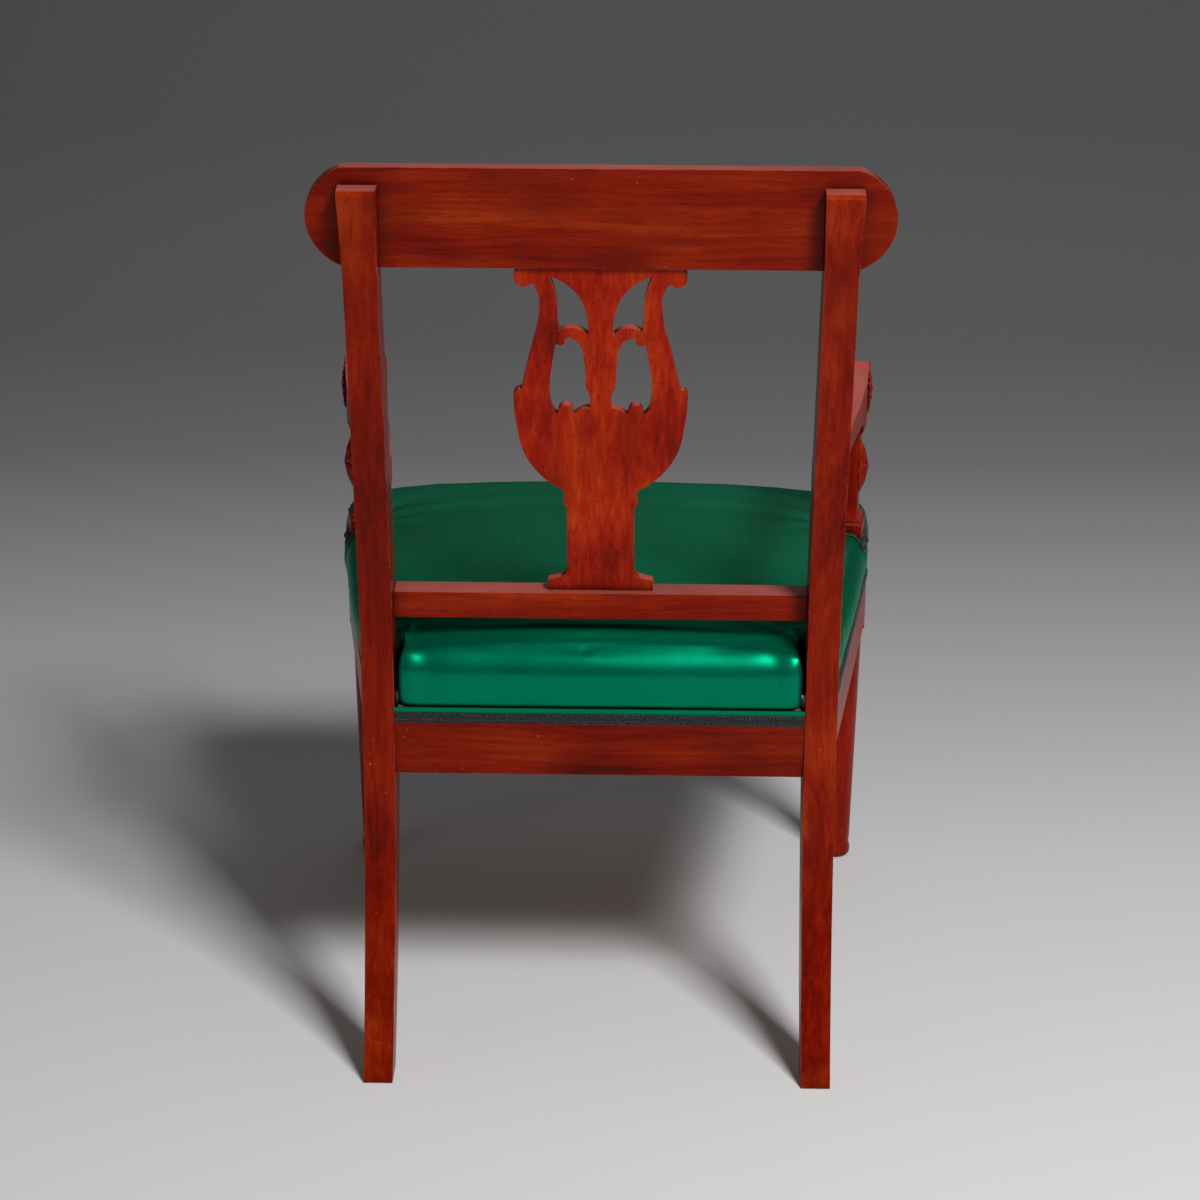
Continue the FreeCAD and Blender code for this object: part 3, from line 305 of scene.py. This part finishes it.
def blued_steel():
    """Stained dark steel of the tacks and screws."""
    n = Nodes("blued_steel")
    stain = n.noise(n.scaled(n.coord, (160, 160, 160)), 1.0, 3.0)
    colour = n.ramp(stain, [(0.35, (0.07, 0.06, 0.055)), (0.65, (0.24, 0.23, 0.22))])
    return n.finish(colour, n.span(stain, 0.3, 0.7, 0.35, 0.6), Metallic=1.0)


# Wooden pieces
ARRIS = 0.0010  # width of an eased edge, in metres
SHARP = math.radians(24.0)  # edges with a larger angle are eased
FLAT = math.radians(0.4)  # faces within this angle become one


def dress(node, material):
    """Copies a CAD piece, eases its arrises and notes them for the wear in its polish."""
    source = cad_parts[node]
    mesh = source.data.copy()
    mesh.name = node + "_skin"
    work = bmesh.new()
    work.from_mesh(mesh)
    work.transform(source.matrix_world)
    bmesh.ops.remove_doubles(work, verts=work.verts, dist=1e-6)
    bmesh.ops.dissolve_limit(
        work, angle_limit=FLAT, verts=work.verts, edges=work.edges, delimit=set()
    )
    edges = [e for e in work.edges if e.is_manifold and e.calc_face_angle(0.0) > SHARP]
    worn = work.verts.layers.float.new("edge")
    if edges:
        made = bmesh.ops.bevel(
            work, geom=edges, offset=ARRIS, offset_type="OFFSET", segments=2, profile=0.6,
            affect="EDGES", clamp_overlap=True
        )
        ring = set(made["faces"])
        for face in ring:
            for vert in face.verts:
                if all(other in ring for other in vert.link_faces):
                    vert[worn] = 1.0
    bmesh.ops.recalc_face_normals(work, faces=work.faces)
    work.to_mesh(mesh)
    work.free()
    mesh.materials.clear()
    mesh.materials.append(material)
    mesh.shade_smooth()
    piece = link(bpy.data.objects.new(node + "_looks", mesh))
    even = piece.modifiers.new("normals", "WEIGHTED_NORMAL")
    even.keep_sharp = True
    even.weight = 80
    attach(piece, "root")
    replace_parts(piece, node)
    return piece


WOOD = [
    # node, grain axis, seed, tone, orange
    ("crest_rail", "X", 1.0, 0.66, 0.6),
    ("cross_rail", "X", 2.0, 0.74, 0.6),
    ("lyre_splat", "Z", 3.0, 1.12, 0.8),
    ("rear_leg_left", "Z", 4.0, 0.66, 0.5),
    ("rear_leg_right", "Z", 5.0, 0.72, 0.7),
    ("rear_seat_rail", "X", 6.0, 0.56, 0.4),
    ("front_seat_rail", "X", 7.0, 0.85, 0.3),
    ("side_seat_rail_left", "Y", 8.0, 0.80, 0.3),
    ("side_seat_rail_right", "Y", 9.0, 0.80, 0.3),
    ("front_leg_left", "Z", 10.0, 0.80, 0.3),
    ("front_leg_right", "Z", 11.0, 0.80, 0.3),
    ("arm_post_left", "Z", 12.0, 0.80, 0.3),
    ("arm_post_right", "Z", 13.0, 0.80, 0.3),
    ("arm_left", "Y", 14.0, 0.90, 0.4),
    ("arm_right", "Y", 15.0, 0.90, 0.4),
]
dressed = {}
for node, along, seed, tone, orange in WOOD:
    dressed[node] = dress(node, mahogany("mahogany_" + node, along, seed, tone, orange))

for number, node in enumerate(("front_left", "front_right", "rear_left", "rear_right")):
    paint("corner_block_" + node, beech("beech_" + node, number * 3.1))


# Upholstery
def mm(x, y, z):
    """A point of the drawing, in millimetres, as a point of the scene."""
    return Vector((x / 1000.0, y / 1000.0 + SHIFT, z / 1000.0))


SIDE_START = Vector((226.0, -42.7))
SIDE_END = Vector((286.5, -427.5))
SIDE = (SIDE_END - SIDE_START).normalized()
OUTWARD = Vector((-SIDE.y, SIDE.x))
FRONT_Y = -470.5
POST = SIDE_START + SIDE * ((-327.0 - SIDE_START.y) / SIDE.y) - OUTWARD * 12.0


def frame_path(offset, z, rear_y=-46.5):
    """Left stile, front corner, front, right corner, right stile: points and outward normals."""
    left = []
    first = SIDE_START + SIDE * ((rear_y - SIDE_START.y) / SIDE.y) + OUTWARD * offset
    radius = 6.4 + offset
    knee = Vector((SIDE_END.x + offset, SIDE_END.y))
    left.append((first, OUTWARD))
    left.append((knee, OUTWARD))
    centre = Vector((knee.x - radius, FRONT_Y - offset + radius))
    for step in range(9):
        turn = math.radians(90 * step / 8)
        way = Vector((math.cos(turn), -math.sin(turn)))
        left.append((centre + way * radius, way))
    both = left + [(Vector((-p.x, p.y)), Vector((-n.x, n.y))) for p, n in reversed(left)]
    return [(mm(p.x, p.y, z), Vector((n.x, n.y, 0))) for p, n in both]


def resampled(path, step, closed=False):
    """Even points along a path of (point, normal)."""
    items = path + [path[0]] if closed else list(path)
    lengths = [0.0]
    for (a, _), (b, _) in zip(items, items[1:]):
        lengths.append(lengths[-1] + (b - a).length)
    count = max(2, round(lengths[-1] / step))
    found = []
    at = 0
    for number in range(count if closed else count + 1):
        want = lengths[-1] * number / count
        while at < len(items) - 2 and lengths[at + 1] < want:
            at += 1
        share = (want - lengths[at]) / max(1e-9, lengths[at + 1] - lengths[at])
        point = items[at][0].lerp(items[at + 1][0], share)
        normal = items[at][1].lerp(items[at + 1][1], share).normalized()
        found.append((point, normal))
    return found, lengths[-1]


def tube_rings(verts, faces, rings, closed):
    """Adds a skin over rings of equally many points."""
    base = len(verts)
    size = len(rings[0])
    for ring in rings:
        verts += ring
    last = len(rings) if closed else len(rings) - 1
    for i in range(last):
        j = (i + 1) % len(rings)
        for k in range(size):
            m = (k + 1) % size
            here, there = base + i * size, base + j * size
            faces.append((here + k, here + m, there + m, there + k))
    if not closed:
        faces.append(tuple(base + k for k in range(size))[::-1])
        faces.append(tuple(base + (last * size) + k for k in range(size)))


BRAID_HALF = 0.0046  # half the braid's width, in metres
PLAIT = 0.0085  # length of one turn of the plait
CORD = 0.00075  # radius of the cord along each edge


def six_sided(centre, across, normal, wide, high):
    """Ring of six points round the middle of a cord."""
    turns = [2 * math.pi * k / 6 for k in range(6)]
    return [
        centre + across * (wide * math.cos(a)) + normal * (high * math.sin(a)) for a in turns
    ]


def gimp(name, path, material, closed=False):
    """Flat braid of three plaited cords with a fine cord along each edge."""
    points, length = resampled(path, PLAIT / 8, closed)
    turns = round(length / PLAIT) if closed else length / PLAIT
    count = len(points)
    verts, faces = [], []

    def frame_at(i):
        before = points[(i - 1) % count][0] if closed or i > 0 else points[0][0]
        after = points[(i + 1) % count][0] if closed or i < count - 1 else points[-1][0]
        along = (after - before).normalized()
        across = along.cross(points[i][1]).normalized()
        return points[i][0], across.cross(along).normalized(), across

    frames = [frame_at(i) for i in range(count)]
    swing, lift, radius = 0.62, 0.00055, 0.00105
    for strand in range(3):
        phase = strand * 2 * math.pi / 3
        rings = []
        for i, (point, normal, across) in enumerate(frames):
            turn = 2 * math.pi * turns * i / (count if closed else count - 1) + phase
            centre = point + across * (BRAID_HALF * swing * math.sin(turn))
            centre = centre + normal * (0.0011 + lift * math.sin(2 * turn))
            rings.append(six_sided(centre, across, normal, radius * 1.25, radius * 0.8))
        tube_rings(verts, faces, rings, closed)
    for side in (-1, 1):
        rings = []
        for i, (point, normal, across) in enumerate(frames):
            thick = CORD * (1 + 0.22 * math.sin(2 * math.pi * i / 2.66))
            centre = point + across * (side * BRAID_HALF * 0.98) + normal * 0.0009
            rings.append(six_sided(centre, across, normal, thick, thick))
        tube_rings(verts, faces, rings, closed)
    rings = []
    for point, normal, across in frames:
        one, other = point + across * BRAID_HALF, point - across * BRAID_HALF
        low, high = normal * 0.00005, normal * 0.0007
        rings.append([one + low, one + high, other + high, other + low])
    tube_rings(verts, faces, rings, closed)
    piece = mesh_object(name, verts, faces)
    piece.data.materials.append(material)
    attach(piece, "root")
    return piece


HOLD = 22.0  # mm from a held place to where the cloth is free
STILE = Vector((192.0, -48.0))
CORNER = Vector((272.0, -458.0))


def pinned(p):
    """0 where the cloth is held: at the braid, the stiles and the posts; 1 where it is free."""
    x, y, z = abs(p.x) * 1000, (p.y - SHIFT) * 1000, p.z * 1000
    low = (z - 359.0) / HOLD
    stile = max(190.0 - x, -48.0 - y) / HOLD
    away = Vector((x, y)) - POST
    post = max(abs(away.dot(SIDE)) - 22.0, abs(away.dot(OUTWARD)) - 13.0) / HOLD
    if stile < 0 and y > -49:
        stile = 0.0
    return max(0.0, min(1.0, low, max(stile, 0.0), max(post, 0.0)))


def pucker(p, n):
    """How far the fabric stands out or in at a point: gathers, pleats and pulls, in metres."""
    x, y, z = abs(p.x) * 1000, (p.y - SHIFT) * 1000, p.z * 1000
    side = 1.0 if p.x > 0 else -1.0
    wave = noise.noise(p * 9.0) * 0.9
    if abs(n.z) < 0.7 and z < 400:
        along = (y if x > 200 and y > -440 else x * side)
        beat = noise.noise(Vector((along * 0.055, side * 3.0, 0.3))) + 0.5 * noise.noise(
            Vector((along * 0.14, side * 5.0, 0.8))
        )
        wave += beat * 1.6 * math.exp(-(z - 358.0) / 16.0)
    if y > -60 and x < 200:
        roll = max(0.0, min(1.0, (z - 392.0) / 38.0))
        wave -= 8.0 * roll * roll * (3 - 2 * roll) * max(0.0, min(1.0, (y + 60.0) / 40.0))
    corner = Vector((x, y)) - CORNER
    if corner.length < 70 and n.z < 0.95:
        turn = math.atan2(corner.x, -corner.y)
        fold = math.cos(turn * 15.0) * math.exp(-corner.length / 42.0)
        wave += fold * 1.5 * max(0.0, min(1.0, (452.0 - z) / 60.0))
    for spot, size, count, reach in ((POST, 26.0, 9.0, 26.0), (STILE, 8.0, 11.0, 34.0)):
        away = Vector((x, y)) - spot
        if away.length < 130:
            turn = math.atan2(away.y, away.x)
            near = math.exp(-max(0.0, away.length - size) / reach)
            ray = math.sin(turn * count + 2.0 * noise.noise(p * 20.0))
            wave += 1.5 * near * ray - 1.2 * near
    return wave / 1000.0


# All in metres
COVER = 0.0014  # thickness of the satin
SATIN_LOW = 0.3592  # underside of the satin away from its edge
TUCK_TOP = 0.3720  # the edge is drawn down from here
TUCK_LOW = 0.3551  # to here
TUCK_WIDTH = 0.008
VOXEL = 0.0055
SLACK = 0.0025  # the skin starts this much smaller, then blows up
MOST_SWELL = 0.004
SIM_FRAMES = 20
SKIRT_LOW = 0.3453
SKIRT_HIGH = 0.3600
SKIRT_THICK = 0.0012


def depth_inside(p):
    """How far a point lies inside the seat frame's outline."""
    flat = Vector((abs(p.x) * 1000, (p.y - SHIFT) * 1000))
    side = -(flat - SIDE_START).dot(OUTWARD)
    return max(0.0, min(side, SIDE_END.x - flat.x, flat.y - FRONT_Y, -flat.y)) / 1000


def seat(material):
    """Satin over the stuffing: its skin, blown up a little as cloth and gathered at its edges."""
    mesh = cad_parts["seat_stuffing"].data.copy()
    mesh.name = "seat_satin"
    piece = link(bpy.data.objects.new("seat_satin", mesh))
    bpy.context.view_layer.objects.active = piece
    remesh = piece.modifiers.new("remesh", "REMESH")
    remesh.mode = "VOXEL"
    remesh.voxel_size = VOXEL
    mesh = applied(piece, "seat_skin")

    work = bmesh.new()
    work.from_mesh(mesh)
    for _ in range(4):
        bmesh.ops.smooth_vert(
            work, verts=work.verts, factor=0.5, use_axis_x=True, use_axis_y=True, use_axis_z=True
        )
    work.normal_update()
    places = [v.co + v.normal * COVER for v in work.verts]
    for vert, place in zip(work.verts, places):
        z = max(place.z, SATIN_LOW)
        if z < TUCK_TOP:
            drop = (TUCK_TOP - z) / (TUCK_TOP - SATIN_LOW) * (SATIN_LOW - TUCK_LOW)
            z -= drop * max(0.0, 1.0 - depth_inside(place) / TUCK_WIDTH)
        vert.co = Vector((place.x, place.y, z))
    work.to_mesh(mesh)
    work.free()
    rest = [v.co.copy() for v in mesh.vertices]
    free = [pinned(p) for p in rest]
    normals = [v.normal.copy() for v in mesh.vertices]
    for vert, normal, share in zip(mesh.vertices, normals, free):
        vert.co -= normal * SLACK * share
    group = piece.vertex_groups.new(name="held")
    for number, share in enumerate(free):
        group.add([number], 1.0 - share, "REPLACE")
    sim = piece.modifiers.new("cloth", "CLOTH")
    sim.settings.quality = 5
    sim.settings.mass = 0.3
    sim.settings.tension_stiffness = 18
    sim.settings.compression_stiffness = 18
    sim.settings.bending_stiffness = 1.5
    sim.settings.use_pressure = True
    sim.settings.uniform_pressure_force = 3.0
    sim.settings.vertex_group_mass = "held"
    sim.settings.effector_weights.gravity = 0.0
    sim.collision_settings.use_collision = False
    sim.point_cache.frame_end = SIM_FRAMES
    for number in range(1, SIM_FRAMES + 1):
        scene.frame_set(number)
    depth = bpy.context.evaluated_depsgraph_get()
    blown = [v.co.copy() for v in piece.evaluated_get(depth).to_mesh().vertices]
    piece.evaluated_get(depth).to_mesh_clear()
    piece.modifiers.clear()
    piece.vertex_groups.clear()
    scene.frame_set(1)
    for vert, start, end, share in zip(mesh.vertices, rest, blown, free):
        move = end - start
        most = MOST_SWELL * share
        if move.length > most:
            move = move.normalized() * most
        vert.co = start + move
    mesh.update()
    shifts = [(v.co.copy(), v.normal.copy()) for v in mesh.vertices]
    for vert, (place, normal) in zip(mesh.vertices, shifts):
        if normal.z > -0.8:
            vert.co = place + normal * pucker(place, normal)
    finer = piece.modifiers.new("finer", "SUBSURF")
    finer.levels = finer.render_levels = 1
    mesh = applied(piece, "seat_satin")
    mesh.shade_smooth()
    mesh.materials.clear()
    mesh.materials.append(material)
    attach(piece, "root")
    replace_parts(piece, "seat_cover", "seat_stuffing")
    return piece


def skirt(name, path, material):
    """The satin's edge, drawn down into the frame's rebate behind the braid."""
    points, _ = resampled(path, 0.004)
    verts, faces, rings = [], [], []
    for point, normal in points:
        inside = point - normal * SKIRT_THICK
        rings.append([
            Vector((point.x, point.y, SKIRT_LOW)), Vector((point.x, point.y, SKIRT_HIGH)),
            Vector((inside.x, inside.y, SKIRT_HIGH)), Vector((inside.x, inside.y, SKIRT_LOW)),
        ])
    tube_rings(verts, faces, rings, False)
    piece = mesh_object(name, verts, faces, smooth=False)
    piece.data.materials.append(material)
    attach(piece, "root")
    return piece


def post_path(skin, side):
    """Loop on the seat's skin round the foot of one arm post."""
    tree = BVHTree.FromObject(skin, bpy.context.evaluated_depsgraph_get())
    half, inner, low = 27.0, -18.0, 425.0
    corners = [
        (-half, 20.0, low), (half, 20.0, low), (half, 20.0, 440.0),
        (half, inner, 452.0), (-half, inner, 452.0), (-half, 20.0, 440.0),
    ]
    rough = []
    for along, across, z in corners:
        spot = POST + SIDE * along + OUTWARD * across
        rough.append((mm(spot.x * side, spot.y, z), Vector((0, 0, 1))))
    points, _ = resampled(rough, 0.002, True)
    found = []
    for point, _ in points:
        found.append(tree.find_nearest(point)[:2])
    for _ in range(3):
        count = len(found)
        found = [
            (
                (found[i - 1][0] + found[i][0] * 2 + found[(i + 1) % count][0]) / 4,
                (found[i - 1][1] + found[i][1] * 2 + found[(i + 1) % count][1]).normalized(),
            )
            for i in range(count)
        ]
    return found


def stretched(node, name, material):
    """A woven piece with the shallow waves of stretched cloth, in place of its flat solid."""
    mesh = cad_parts[node].data.copy()
    work = bmesh.new()
    work.from_mesh(mesh)
    bmesh.ops.remove_doubles(work, verts=work.verts, dist=1e-6)
    work.to_mesh(mesh)
    work.free()
    piece = link(bpy.data.objects.new(name, mesh))
    finer = piece.modifiers.new("finer", "SUBSURF")
    finer.subdivision_type = "SIMPLE"
    finer.levels = finer.render_levels = 3
    mesh = applied(piece, name)
    for vert in mesh.vertices:
        p = vert.co
        share = max(0.0, min(1.0, (depth_inside(p) - 0.035) / 0.06))
        p.z -= share * (0.0016 + 0.0010 * noise.noise(Vector((p.x * 14, p.y * 14, 0.5))))
    mesh.materials.clear()
    mesh.materials.append(material)
    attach(piece, "root")
    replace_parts(piece, node)


emerald = satin()
silk = black_gimp()
cushion = seat(emerald)
BRAID_Z = 0.350
REAR_HALF = 0.1952
rear_line = [
    (Vector((x, SHIFT - 0.001, BRAID_Z)), Vector((0, 1, 0))) for x in (REAR_HALF, -REAR_HALF)
]
front_line = frame_path(-1.0, BRAID_Z * 1000)
skirt("satin_edge_rear", rear_line, emerald)
skirt("satin_edge_front", front_line, emerald)
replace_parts(gimp("gimp_rear", rear_line, silk), "braid_rear")
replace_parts(gimp("gimp_front", front_line, silk), "braid_front")
for side, word in ((1, "left"), (-1, "right")):
    loop = post_path(cushion, side)
    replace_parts(gimp("gimp_post_" + word, loop, silk, closed=True), "braid_post_" + word)

YARN = ((0.12, 0.08, 0.045), (0.36, 0.26, 0.15))
STRAP = ((0.20, 0.155, 0.10), (0.50, 0.42, 0.30))
woven = (
    ("seat_hessian", "hessian", cloth("hessian", *YARN, 260.0, 260.0, 0.9)),
    ("webbing_front_to_back", "webbing", cloth("webbing_long", *STRAP, 500.0, 200.0, 0.85)),
    ("webbing_side_to_side", "webbing", cloth("webbing_cross", *STRAP, 200.0, 500.0, 0.85)),
)
for node, slot, material in woven:
    stretched(node, node + "_stretched", material)
steel = blued_steel()
paint("webbing_tacks", steel)
paint("corner_block_screws", steel)
paint("crest_dowels", beech("beech_dowels", 9.0))


# Carving on the arms and posts
# All in millimetres of the drawing
VOLUTE = (273.75, -352.0, 582.0)
PEARLS = 18
PEARL_RING = 23.4
PETALS = 9
PETAL_RING = 9.5
LEAF_MIDDLE = 504.0
LEAF_BACK = 7.0  # the leaf's back, out from the middle of its post


def mirrored(x, y, z, side):
    """A point of the drawing on the left (side 1) or the right (side -1) of the chair."""
    point = mm(x, y, z)
    return Vector((point.x * side, point.y, point.z))


def beads(side):
    """Ring of pearls and a flower on the round end of one arm."""
    verts, faces = [], []
    sphere = bmesh.new()
    bmesh.ops.create_icosphere(sphere, subdivisions=2, radius=1.0)
    ball = [v.co.copy() for v in sphere.verts]
    shell = [[v.index for v in f.verts] for f in sphere.faces]
    sphere.free()

    def add(place, radii, turn=0.0):
        base = len(verts)
        for p in ball:
            y = p.y * radii[1] * math.cos(turn) - p.z * radii[2] * math.sin(turn)
            z = p.y * radii[1] * math.sin(turn) + p.z * radii[2] * math.cos(turn)
            verts.append(mirrored(place[0] + p.x * radii[0], place[1] + y, place[2] + z, side))
        for f in shell:
            faces.append([base + i for i in (f if side > 0 else f[::-1])])

    x, y, z = VOLUTE
    for number in range(PEARLS):
        turn = 2 * math.pi * number / PEARLS
        middle = (x - 0.8, y + PEARL_RING * math.cos(turn), z + PEARL_RING * math.sin(turn))
        add(middle, (2.0, 2.5, 2.5))
    for number in range(PETALS):
        turn = 2 * math.pi * number / PETALS
        middle = (x + 1.6, y + PETAL_RING * math.cos(turn), z + PETAL_RING * math.sin(turn))
        add(middle, (1.8, 6.2, 2.9), turn)
    add((x + 2.2, y, z), (2.6, 4.0, 4.0))
    return verts, faces


def leaf(side):
    """Carved oval flower on the outer face of one post: ribbed petals round a button."""
    centre = POST + OUTWARD * LEAF_BACK
    verts, faces = [], []
    around, rows = 72, 12
    for row in range(rows + 1):
        share = row / rows
        for k in range(around):
            turn = 2 * math.pi * k / around
            petal = abs(math.cos(turn * 5))
            reach = share * (0.86 + 0.14 * petal)
            crown = math.sin(math.pi * min(1.0, 1.02 - share) * 0.62)
            if share > 0.28:
                lift = 7.6 * crown * (0.62 + 0.38 * petal ** 0.6)
            else:
                lift = 7.6 + 1.6 * math.cos(share * 5.6)
            along = 15.0 * reach * math.sin(turn)
            height = LEAF_MIDDLE + 30.0 * reach * math.cos(turn)
            spot = centre + SIDE * along + OUTWARD * max(0.0, lift if row < rows else -0.4)
            verts.append(mirrored(spot.x, spot.y, height, side))
    for row in range(rows):
        for k in range(around):
            m = (k + 1) % around
            here, there = row * around, (row + 1) * around
            quad = (here + k, here + m, there + m, there + k)
            faces.append(quad if side > 0 else quad[::-1])
    middle = len(verts)
    back = middle + 1
    for out in (9.2, -0.6):
        spot = centre + OUTWARD * out
        verts.append(mirrored(spot.x, spot.y, LEAF_MIDDLE, side))
    for k in range(around):
        m = (k + 1) % around
        faces.append((middle, m, k) if side > 0 else (middle, k, m))
        low, high = rows * around + k, rows * around + m
        faces.append((back, low, high) if side > 0 else (back, high, low))
    return verts, faces


for side, word in ((1, "left"), (-1, "right")):
    wood = dressed["arm_" + word].data.materials[0]
    for name, made in (("pearls_", beads(side)), ("leaf_", leaf(side))):
        piece = mesh_object(name + word, *made)
        fixed = bmesh.new()
        fixed.from_mesh(piece.data)
        bmesh.ops.recalc_face_normals(fixed, faces=fixed.faces)
        fixed.to_mesh(piece.data)
        fixed.free()
        piece.data.shade_smooth()
        piece.data.materials.append(wood)
        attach(piece, "root")
        if name == "leaf_":
            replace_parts(piece, "arm_ornament_" + word)


# Stage, camera and light
def stage():
    """Pale floor that turns up into a backdrop, its colour darkened towards the back and top as
    painted shade.
    """
    foot, radius = -2.6, 1.6
    rows = [(4.5, 0.0), (1.0, 0.0), (-1.5, 0.0), (foot, 0.0)]
    for step in range(1, 13):
        turn = math.radians(90 * step / 12)
        rows.append((foot - radius * math.sin(turn), radius - radius * math.cos(turn)))
    rows.append((foot - radius, 7.0))
    verts = []
    for y, z in rows:
        verts += [(-7.0, y, z - 0.0005), (7.0, y, z - 0.0005)]
    faces = [(2 * i, 2 * i + 1, 2 * i + 3, 2 * i + 2) for i in range(len(rows) - 1)]
    floor = mesh_object("backdrop", verts, faces)
    n = Nodes("paper")
    split = n.add("ShaderNodeSeparateXYZ")
    n.join(n.coord, split.inputs[0])
    # painted shade: the paper darkens with height and distance from the camera, standing in for the
    # fall of the light
    depth = n.math("SUBTRACT", split.outputs["Z"], n.math("MULTIPLY", split.outputs["Y"], 0.45))
    colour = n.ramp(
        n.span(depth, -0.5, 4.2),
        [(0.0, (0.93, 0.93, 0.93)), (0.13, (0.80, 0.80, 0.80)), (0.28, (0.36, 0.358, 0.362)),
         (0.5, (0.235, 0.232, 0.238)), (1.0, (0.17, 0.167, 0.173))],
    )
    floor.data.materials.append(n.finish(colour, 0.9, Specular_IOR_Level=0.1))


def lamp(name, place, aim, size, power):
    """A rectangular soft light; sizes in metres, power in watts."""
    data = bpy.data.lights.new(name, "AREA")
    data.shape = "RECTANGLE"
    data.size, data.size_y = size
    data.energy = power
    obj = link(bpy.data.objects.new(name, data))
    obj.location = place
    obj.rotation_euler = (Vector(aim) - Vector(place)).to_track_quat("-Z", "Y").to_euler()


# The camera fitted to the photograph; its image is 1200 pixels wide
FOCAL = 2616.19  # in pixels of that image
REACH = 2.29988  # from the back legs' rear face, level, in metres
HEIGHT = 1.31247
YAW, PITCH, ROLL = math.radians(1.0), math.radians(20.09), math.radians(0.25)


def camera():
    """The photograph's viewpoint."""
    data = bpy.data.cameras.new("camera")
    data.sensor_width = 36.0
    data.lens = FOCAL / 1200 * data.sensor_width
    data.clip_start = 0.05
    obj = link(bpy.data.objects.new("camera", data))
    turn = (
        Matrix.Rotation(math.pi + YAW, 4, "Z")
        @ Matrix.Rotation(math.pi / 2 - PITCH, 4, "X")
        @ Matrix.Rotation(ROLL, 4, "Z")
    )
    place = Vector((-REACH * math.sin(YAW), SHIFT + REACH * math.cos(YAW), HEIGHT))
    obj.matrix_world = Matrix.Translation(place) @ turn
    scene.camera = obj


stage()
camera()
lamp("key", (-1.5, 2.4, 3.3), (0, 0, 0.4), (1.0, 1.0), 136)
lamp("overhead", (-0.3, -0.4, 3.4), (0, 0, 0.4), (2.0, 2.0), 3)
lamp("beyond", (-0.3, -3.5, 2.1), (0, 0, 0.6), (3.2, 1.0), 3.5)
lamp("fill", (2.6, 1.6, 1.6), (0, 0, 0.5), (1.6, 1.6), 3)
world = bpy.data.worlds.new("world")
scene.world = world
world.use_nodes = True
sky = world.node_tree.nodes["Background"].inputs
sky["Color"].default_value = (0.95, 0.97, 1.0, 1.0)
sky["Strength"].default_value = 0.05
scene.view_settings.view_transform = "Standard"
